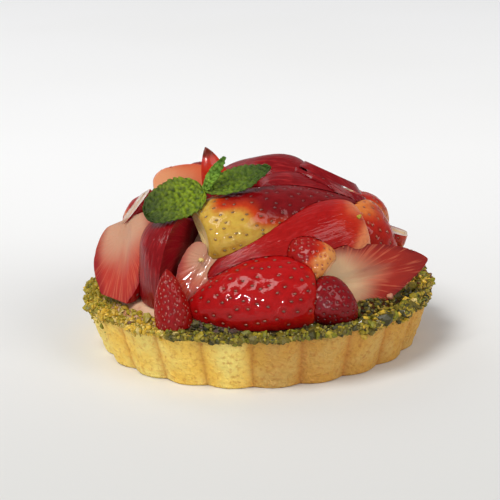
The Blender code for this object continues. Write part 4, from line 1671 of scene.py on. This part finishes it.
@dataclass(frozen=True)
class Pistachio:
    """The crumbs that coat the rim and spill down the outside of the crust."""

    seed: int = 5
    coarse: float = 16.0
    fine: float = 26.0
    fine_size: float = 0.52
    kinds: int = 9
    rim_share: float = 0.66
    juice_and_shade_radius: float = 44.5
    drop_from: float = 30.0
    lowest: float = 9.0
    highest: float = 23.0
    longest_drop: float = 7.5
    sectors: tuple[Sector, ...] = (
        Sector(150, 206, 1.5, 1.00, 42.0, 5.2, (Nut.LIME, Nut.STRAW, Nut.LIME, Nut.LIME, Nut.GREEN)),
        Sector(206, 240, 1.0, 0.95, 43.0, 1.6, (Nut.LIME, Nut.STRAW, Nut.LIME, Nut.STRAW, Nut.IVORY)),
        Sector(240, 303, 1.8, 1.10, 39.0, 0.7, (Nut.OLIVE, Nut.GREEN, Nut.DARK, Nut.LIME, Nut.OLIVE)),
        Sector(303, 345, 1.5, 1.30, 39.0, 2.4,
               (Nut.GREEN, Nut.OLIVE, Nut.LIME, Nut.DARK, Nut.OLIVE, Nut.STRAW)),
        Sector(345, 510, 1.0, 0.95, 42.0, 3.6, (Nut.GREEN, Nut.OLIVE, Nut.LIME, Nut.STRAW, Nut.SKIN)),
    )

    def shapes(self, rng: random.Random, fine: bool) -> list[Mesh]:
        """A few angular crumbs of unit size, or plainer grains.

        Args:
            rng: the source of their forms.
            fine: whether they are the plainer grains.

        Returns:
            Their meshes.
        """
        made = []
        for _ in range(self.kinds):
            bm = bmesh.new()
            if fine:
                bmesh.ops.create_uvsphere(bm, u_segments=4, v_segments=2, radius=1.0)
            else:
                bmesh.ops.create_icosphere(bm, subdivisions=1, radius=1.0)
            for vert in bm.verts:
                vert.co *= rng.uniform(0.68, 1.12)
            made.append(to_mesh("crumb", bm))
        return made

    def build(self, crust: Crust, ground: list[Object], fruit: list[Object]) -> None:
        """Scatters the fine grains, then the larger crumbs.

        Args:
            crust: the shell's sizes.
            ground: the objects that crumbs lie on.
            fruit: the objects that they keep off.
        """
        below, above = tree_of(ground), tree_of(fruit)
        finish = CrumbFinish().material()
        for name, fine in (("pistachio_dust", True), ("pistachio_crumbs", False)):
            rng = random.Random(self.seed)
            places, tones = [], []
            for sector in self.sectors:
                per_degree = self.fine if fine else self.coarse
                for _ in range(int((sector.end - sector.start) * per_degree * sector.density)):
                    size = self.fine_size if fine else sector.size
                    size *= math.exp(rng.gauss(0, 0.25 if fine else 0.38)) * MM / 2
                    spot = self.spot(rng, crust, sector, below)
                    if spot is None or above.find_nearest(spot)[3] < size * 0.6:
                        continue
                    turn = Matrix.Rotation(rng.uniform(0, math.tau), 4, random_way(rng))
                    scale = (size * rng.uniform(0.8, 1.5), size, size * rng.uniform(0.55, 0.95), 1.0)
                    places.append(Matrix.Translation(spot) @ turn @ Matrix.Diagonal(scale))
                    tones.append(self.tone(rng, sector, spot, fine))
            mesh = scattered(name, self.shapes(rng, fine), places, tones)
            mesh.materials.append(finish)
            piece(name, mesh, ("tart_shell",))

    def tone(self, rng: random.Random, sector: Sector, spot: Vector, fine: bool) -> Colour:
        """A crumb's colour, painted darker where the fruit's juice wets it and as painted shade under the
        fruit.

        Args:
            rng: the source of small differences.
            sector: where the crumb lies.
            spot: its place.
            fine: whether it is one of the grains.

        Returns:
            The colour.
        """
        shade = rng.uniform(0.8, 1.2) * (0.85 if fine else 1.0)
        # Juice and painted shade: crumbs in these sectors are painted darker, darkest near the fruit.
        if sector.wet:
            shade *= 0.5 if spot.xy.length < self.juice_and_shade_radius * MM else 0.8
        choice = rng.choice(sector.tones[:3] if fine else sector.tones)
        return tuple(value * shade for value in choice.value)

    def spot(self, rng: random.Random, crust: Crust, sector: Sector, below: BVHTree) -> Vector | None:
        """Where a crumb comes to lie: on the rim or the cream beside it, or on the outside of the wall.

        Args:
            rng: the source of its place.
            crust: the shell's sizes.
            sector: where the crumb lies.
            below: the surfaces that carry crumbs.

        Returns:
            The place, or None where it would miss.
        """
        angle = math.radians(rng.uniform(sector.start, sector.end))
        way = Vector((math.cos(angle), math.sin(angle), 0))
        if rng.random() < self.rim_share:
            radius = rng.uniform(sector.inner, crust.rim_radius - 0.3) * MM
            start = way * radius + Vector((0, 0, self.drop_from * MM))
            hit, _, _, _ = below.ray_cast(start, Vector((0, 0, -1)))
            if hit is None or hit.z > self.highest * MM or hit.z < self.lowest * MM:
                return None
            return hit + Vector((0, 0, rng.uniform(-0.1, 0.55) * MM))
        drop = abs(rng.gauss(0, 0.45)) * sector.spill
        height = (crust.height - 0.3 - drop) * MM
        hit, _, _, _ = below.ray_cast(way * 60 * MM + Vector((0, 0, height)), -way)
        if hit is None or drop > self.longest_drop:
            return None
        return hit + way * rng.uniform(-0.1, 0.25) * MM


@dataclass(frozen=True)
class NutBit:
    """A larger piece of chopped nut: a place near it and its size, in millimetres, and its tone."""

    near: Point
    size: float
    nut: Nut


@dataclass(frozen=True)
class NutBits:
    """The few nut pieces that lie on the fruit and on the rim."""

    seed: int = 3
    shape: Point = (1.15, 0.9, 0.8)
    sunk: float = 0.45
    bits: tuple[NutBit, ...] = (
        NutBit((-15.0, -36.0, 32.6), 1.5, Nut.IVORY),
        NutBit((28.8, -22.0, 40.5), 1.5, Nut.LIME),
        NutBit((37.0, -26.0, 18.5), 2.2, Nut.ROSE),
        NutBit((42.3, -23.0, 17.5), 1.7, Nut.IVORY),
        NutBit((41.5, -7.0, 26.0), 1.8, Nut.LIME),
        NutBit((28.0, -37.5, 17.0), 2.0, Nut.STRAW),
        NutBit((-29.5, -38.5, 16.0), 1.9, Nut.STRAW),
        NutBit((-34.5, -34.5, 16.0), 1.5, Nut.SKIN),
        NutBit((-22.0, -43.5, 16.0), 1.6, Nut.IVORY),
    )

    def build(self, ground: BVHTree) -> Object:
        """Sets each bit down on the surface nearest to its place.

        Args:
            ground: the surfaces that carry them.

        Returns:
            The bits' object.
        """
        rng = random.Random(self.seed)
        shapes, places, tones = [], [], []
        for bit in self.bits:
            bm = bmesh.new()
            bmesh.ops.create_icosphere(bm, subdivisions=2, radius=1.0)
            lean = random_way(rng)
            for vert in bm.verts:
                vert.co *= 1 + 0.35 * noise.noise(vert.co * 1.3 + Vector(bit.near))
                vert.co -= lean * max(0.0, vert.co.dot(lean) - 0.35) * 0.8
            shapes.append(to_mesh("bit", bm))
            hit, normal, _, _ = ground.find_nearest(Vector(bit.near) * MM)
            size = bit.size * MM / 2
            place = Matrix.Translation(hit + normal * size * self.sunk)
            places.append(place @ Matrix.Diagonal((*(size * stretch for stretch in self.shape), 1.0)))
            tones.append(bit.nut.value)
        mesh = scattered("nut_bits", shapes, places, tones)
        mesh.materials.append(CrumbFinish().material())
        return piece("nut_bits", mesh)


def random_way(rng: random.Random) -> Vector:
    """A direction drawn evenly enough for turning crumbs."""
    return Vector((rng.gauss(0, 1), rng.gauss(0, 1), rng.gauss(0, 1))).normalized()


def tree_of(objects: list[Object]) -> BVHTree:
    """A search tree of several objects' surfaces.

    Args:
        objects: the objects.

    Returns:
        The tree.
    """
    points, faces = [], []
    for obj in objects:
        start = len(points)
        points.extend(vert.co for vert in obj.data.vertices)
        faces.extend([start + index for index in face.vertices] for face in obj.data.polygons)
    return BVHTree.FromPolygons(points, faces)


@dataclass(frozen=True)
class Leaf:
    """A mint leaf, in millimetres, from the sprig's joint to its tip."""

    name: str
    tip: Point
    up: Point
    width: float
    droop: float
    cup: float
    fullness: float
    # The two ends of the leaf's painted light and shade.
    dark: Colour
    light: Colour

    joint: Point = (-13.8, -20.5, 47.9)
    steps: tuple[int, int] = (96, 44)
    thickness: float = 0.32
    stalk: float = 0.3
    ribs: float = 8.5
    teeth: int = 11
    tooth_depth: float = 0.07
    quilt_depth: float = 0.26
    pucker_depth: float = 0.50
    pucker_size: float = 0.7
    midrib_depth: float = 0.40
    midrib_width: float = 0.07
    sink: float = 0.2
    wave: float = 0.04

    def build(self, finish: Material) -> Object:
        """Makes the leaf, quilted between its veins and toothed at its edge.

        Args:
            finish: the leaf's material.

        Returns:
            The leaf's object.
        """
        joint = Vector(self.joint)
        along = Vector(self.tip) - joint
        length = along.length
        along.normalize()
        up = Vector(self.up)
        up = (up - along * up.dot(along)).normalized()
        side = up.cross(along)
        bm = bmesh.new()
        bmesh.ops.create_grid(bm, x_segments=self.steps[0], y_segments=self.steps[1], size=1.0)
        plan = np.array([vert.co for vert in bm.verts])
        share, across = (plan[:, 0] + 1) / 2, plan[:, 1]
        half = self.stalk + self.width / 2 * np.sin(math.pi * share**0.85) ** self.fullness
        saw = (share * self.teeth) % 1.0
        tooth = 1 + self.tooth_depth * (saw - 0.5) * ease(0.7, 1.0, np.abs(across))
        rib = share * self.ribs - np.abs(across) * 1.5
        quilt = np.abs(np.sin(math.pi * rib)) ** 0.6
        midrib = np.exp(-((across / self.midrib_width) ** 2))
        spots = [Vector((s * length, a * self.width / 2, 3.0)) for s, a in zip(share, across)]
        pucker = np.array([noise.noise(spot / self.pucker_size) for spot in spots])
        relief = self.quilt_depth * quilt * (1 - 0.5 * across**2)
        relief = relief + self.pucker_depth * pucker - self.midrib_depth * midrib
        wave = self.wave * np.sin(math.tau * 2 * share) * across * np.abs(across)
        rise = self.cup * across**2 - self.droop * (2 * share - 1) ** 2 + self.droop
        rise = rise + wave * half + relief - self.sink
        points = (
            np.array(joint)
            + np.outer(share * length, np.array(along))
            + np.outer(across * half * tooth, np.array(side))
            + np.outer(rise, np.array(up))
        )
        for vert, point in zip(bm.verts, points):
            vert.co = point * MM
        # Painted light: the raised quilting and puckers are painted lighter and the folds darker, and the
        # leaf is painted darker towards its tip as shade.
        lit = ease(-0.2, 1.2, quilt * 0.4 + 0.6 * (pucker + 0.5))
        bright = lit * (1.3 - 1.1 * ease(0.2, 1.0, share))
        tone = mixed(np.tile(self.dark, (len(points), 1)), self.light, bright)
        pale = np.clip(midrib + 0.25 * (1 - quilt) ** 3, 0, 1)
        mesh = to_mesh(self.name, bm)
        store(mesh, "tone", "FLOAT_COLOR", "POINT", tone)
        store(mesh, "pit", "FLOAT", "POINT", pale)
        mesh.materials.append(finish)
        mesh.shade_smooth()
        leaf = piece(self.name, mesh, ("mint_sprig",))
        thick = leaf.modifiers.new("thickness", "SOLIDIFY")
        thick.thickness = self.thickness * MM
        thick.offset = 0.0
        return leaf


@dataclass(frozen=True)
class MintSprig:
    """Three mint leaves on a short stem that stands between the strawberries."""

    foot: Point = (-16.5, -18.0, 39.5)
    stem_radius: float = 0.8
    stem_spread: float = 1.2
    stem_sides: int = 20
    stem_tone: Colour = linear(96, 128, 50)

    def leaves(self) -> list[Leaf]:
        """The sprig's leaves.

        Returns:
            The list of them.
        """
        return [
            Leaf("mint_leaf_left", (-29.7, -24.0, 42.5), (-0.1, -0.69, 0.72), 12.3, 1.2, 0.8, 0.42,
                 linear(26, 48, 4), linear(122, 142, 14)),
            Leaf("mint_leaf_right", (4.4, -17.0, 52.9), (0.05, -0.45, 0.89), 9.0, -0.5, 0.8, 0.75,
                 linear(42, 70, 6), linear(104, 126, 14)),
            Leaf("mint_leaf_tip", (-7.7, -20.0, 57.0), (-0.5, -0.8, 0.2), 2.8, 0.4, 0.3, 0.75,
                 linear(80, 122, 26), linear(124, 160, 48)),
        ]

    def build(self) -> None:
        """Makes the leaves and the stem."""
        finish = LeafFinish().material()
        for leaf in self.leaves():
            leaf.build(finish)
        start, end = Vector(self.foot) * MM, Vector(Leaf.joint) * MM
        along = end - start
        bm = bmesh.new()
        radius = self.stem_radius * MM
        bmesh.ops.create_cone(
            bm, cap_ends=True, segments=self.stem_sides, radius1=radius, radius2=radius * self.stem_spread,
            depth=along.length,
        )
        turn = along.to_track_quat("Z", "Y").to_matrix()
        bmesh.ops.rotate(bm, verts=bm.verts, cent=(0, 0, 0), matrix=turn)
        bmesh.ops.translate(bm, verts=bm.verts, vec=(start + end) / 2)
        mesh = to_mesh("mint_stem", bm)
        store(mesh, "tone", "FLOAT_COLOR", "POINT", np.tile(self.stem_tone, (len(mesh.vertices), 1)))
        mesh.materials.append(finish)
        mesh.shade_smooth()
        piece("mint_stem", mesh, ("mint_sprig",))


@dataclass(frozen=True)
class Lamp:
    """A square light that faces the tartlet, in metres and watts. A glint shows only in the glaze."""

    name: str
    place: Point
    size: float
    power: float
    colour: Colour = (1.0, 1.0, 1.0)
    glint: bool = False

    def build(self, aim: Point) -> None:
        """Hangs the lamp.

        Args:
            aim: the place that it faces.
        """
        lamp = bpy.data.lights.new(self.name, "AREA")
        lamp.size = self.size
        lamp.energy = self.power
        lamp.color = self.colour
        obj = bpy.data.objects.new(self.name, lamp)
        obj.location = self.place
        way = Vector(aim) - Vector(self.place)
        obj.rotation_euler = way.to_track_quat("-Z", "Y").to_euler()
        bpy.context.scene.collection.objects.link(obj)
        if self.glint:
            obj.visible_diffuse = False


@dataclass(frozen=True)
class Studio:
    """A pale floor, soft light mostly from the upper left, and the camera at the photograph's view."""

    lamps: tuple[Lamp, ...] = (
        Lamp("key", (-1.2, -1.0, 2.5), 1.4, 60.0, (1.0, 0.985, 0.95)),
        Lamp("fill", (1.8, -1.5, 1.5), 1.3, 24.0, (1.0, 0.99, 0.97)),
        Lamp("sky", (-1.4, 1.9, 2.0), 1.2, 10.0, (0.97, 0.98, 1.0)),
        Lamp("glint_low", (0.15, -1.9, 0.45), 0.11, 15.0, glint=True),
        Lamp("glint_left", (-0.8, -1.7, 0.9), 0.11, 15.0, glint=True),
    )
    aim: Point = (0.0, 0.0, 0.02)
    room_colour: Colour = (0.93, 0.95, 1.0)
    room_strength: float = 0.35
    floor_reach: float = 4.0

    elevation: float = 19.274
    distance: float = 0.4552
    focal: float = 1567.5
    frame_width: float = 500.0
    pitch: float = 16.243
    yaw: float = -0.273
    roll: float = -1.979
    sensor: float = 36.0

    def build(self) -> None:
        """Makes the floor, the lights, the world and the camera."""
        self.floor()
        self.lights()
        self.camera()

    def floor(self) -> None:
        """A plain pale floor."""
        bm = bmesh.new()
        bmesh.ops.create_grid(bm, x_segments=1, y_segments=1, size=self.floor_reach)
        floor = bpy.data.objects.new("floor", to_mesh("floor", bm))
        floor.data.materials.append(FloorFinish().material())
        bpy.context.scene.collection.objects.link(floor)

    def lights(self) -> None:
        """Hangs the key, the fill, the light behind that glosses the top, and two small glints."""
        for lamp in self.lamps:
            lamp.build(self.aim)
        world = bpy.data.worlds.new("soft_room")
        world.use_nodes = True
        background = world.node_tree.nodes["Background"]
        background.inputs["Color"].default_value = (*self.room_colour, 1.0)
        background.inputs["Strength"].default_value = self.room_strength
        bpy.context.scene.world = world
        bpy.context.scene.view_settings.view_transform = "Standard"

    def camera(self) -> None:
        """The camera, placed as the photograph was taken."""
        lens = bpy.data.cameras.new("camera")
        lens.sensor_width = self.sensor
        lens.lens = self.focal / self.frame_width * self.sensor
        lens.clip_start = 0.01
        rise, dip = math.radians(self.elevation), math.radians(self.pitch)
        swing, tilt = math.radians(self.yaw), math.radians(self.roll)
        place = Vector((0, -math.cos(rise), math.sin(rise))) * self.distance
        look = Vector((math.sin(swing) * math.cos(dip), math.cos(swing) * math.cos(dip), -math.sin(dip)))
        level = look.cross(Vector((0, 0, 1))).normalized()
        upright = level.cross(look)
        right = level * math.cos(tilt) + upright * math.sin(tilt)
        up = upright * math.cos(tilt) - level * math.sin(tilt)
        turn = Matrix((right, up, -look)).transposed().to_4x4()
        camera = bpy.data.objects.new("camera", lens)
        camera.matrix_world = Matrix.Translation(place) @ turn
        bpy.context.scene.collection.objects.link(camera)
        bpy.context.scene.camera = camera


def main() -> None:
    """Builds the tartlet's looks."""
    logging.basicConfig(level=logging.INFO, format="%(message)s")
    fruit, crust = Fruit(), Crust()
    berries = fruit.build()
    shell = crust.build()
    cream = Cream().build(fruit, crust)
    Pistachio().build(crust, [shell, cream], berries)
    NutBits().build(tree_of([shell, cream, *berries]))
    MintSprig().build()
    Studio().build()


if __name__ == "__main__":
    main()
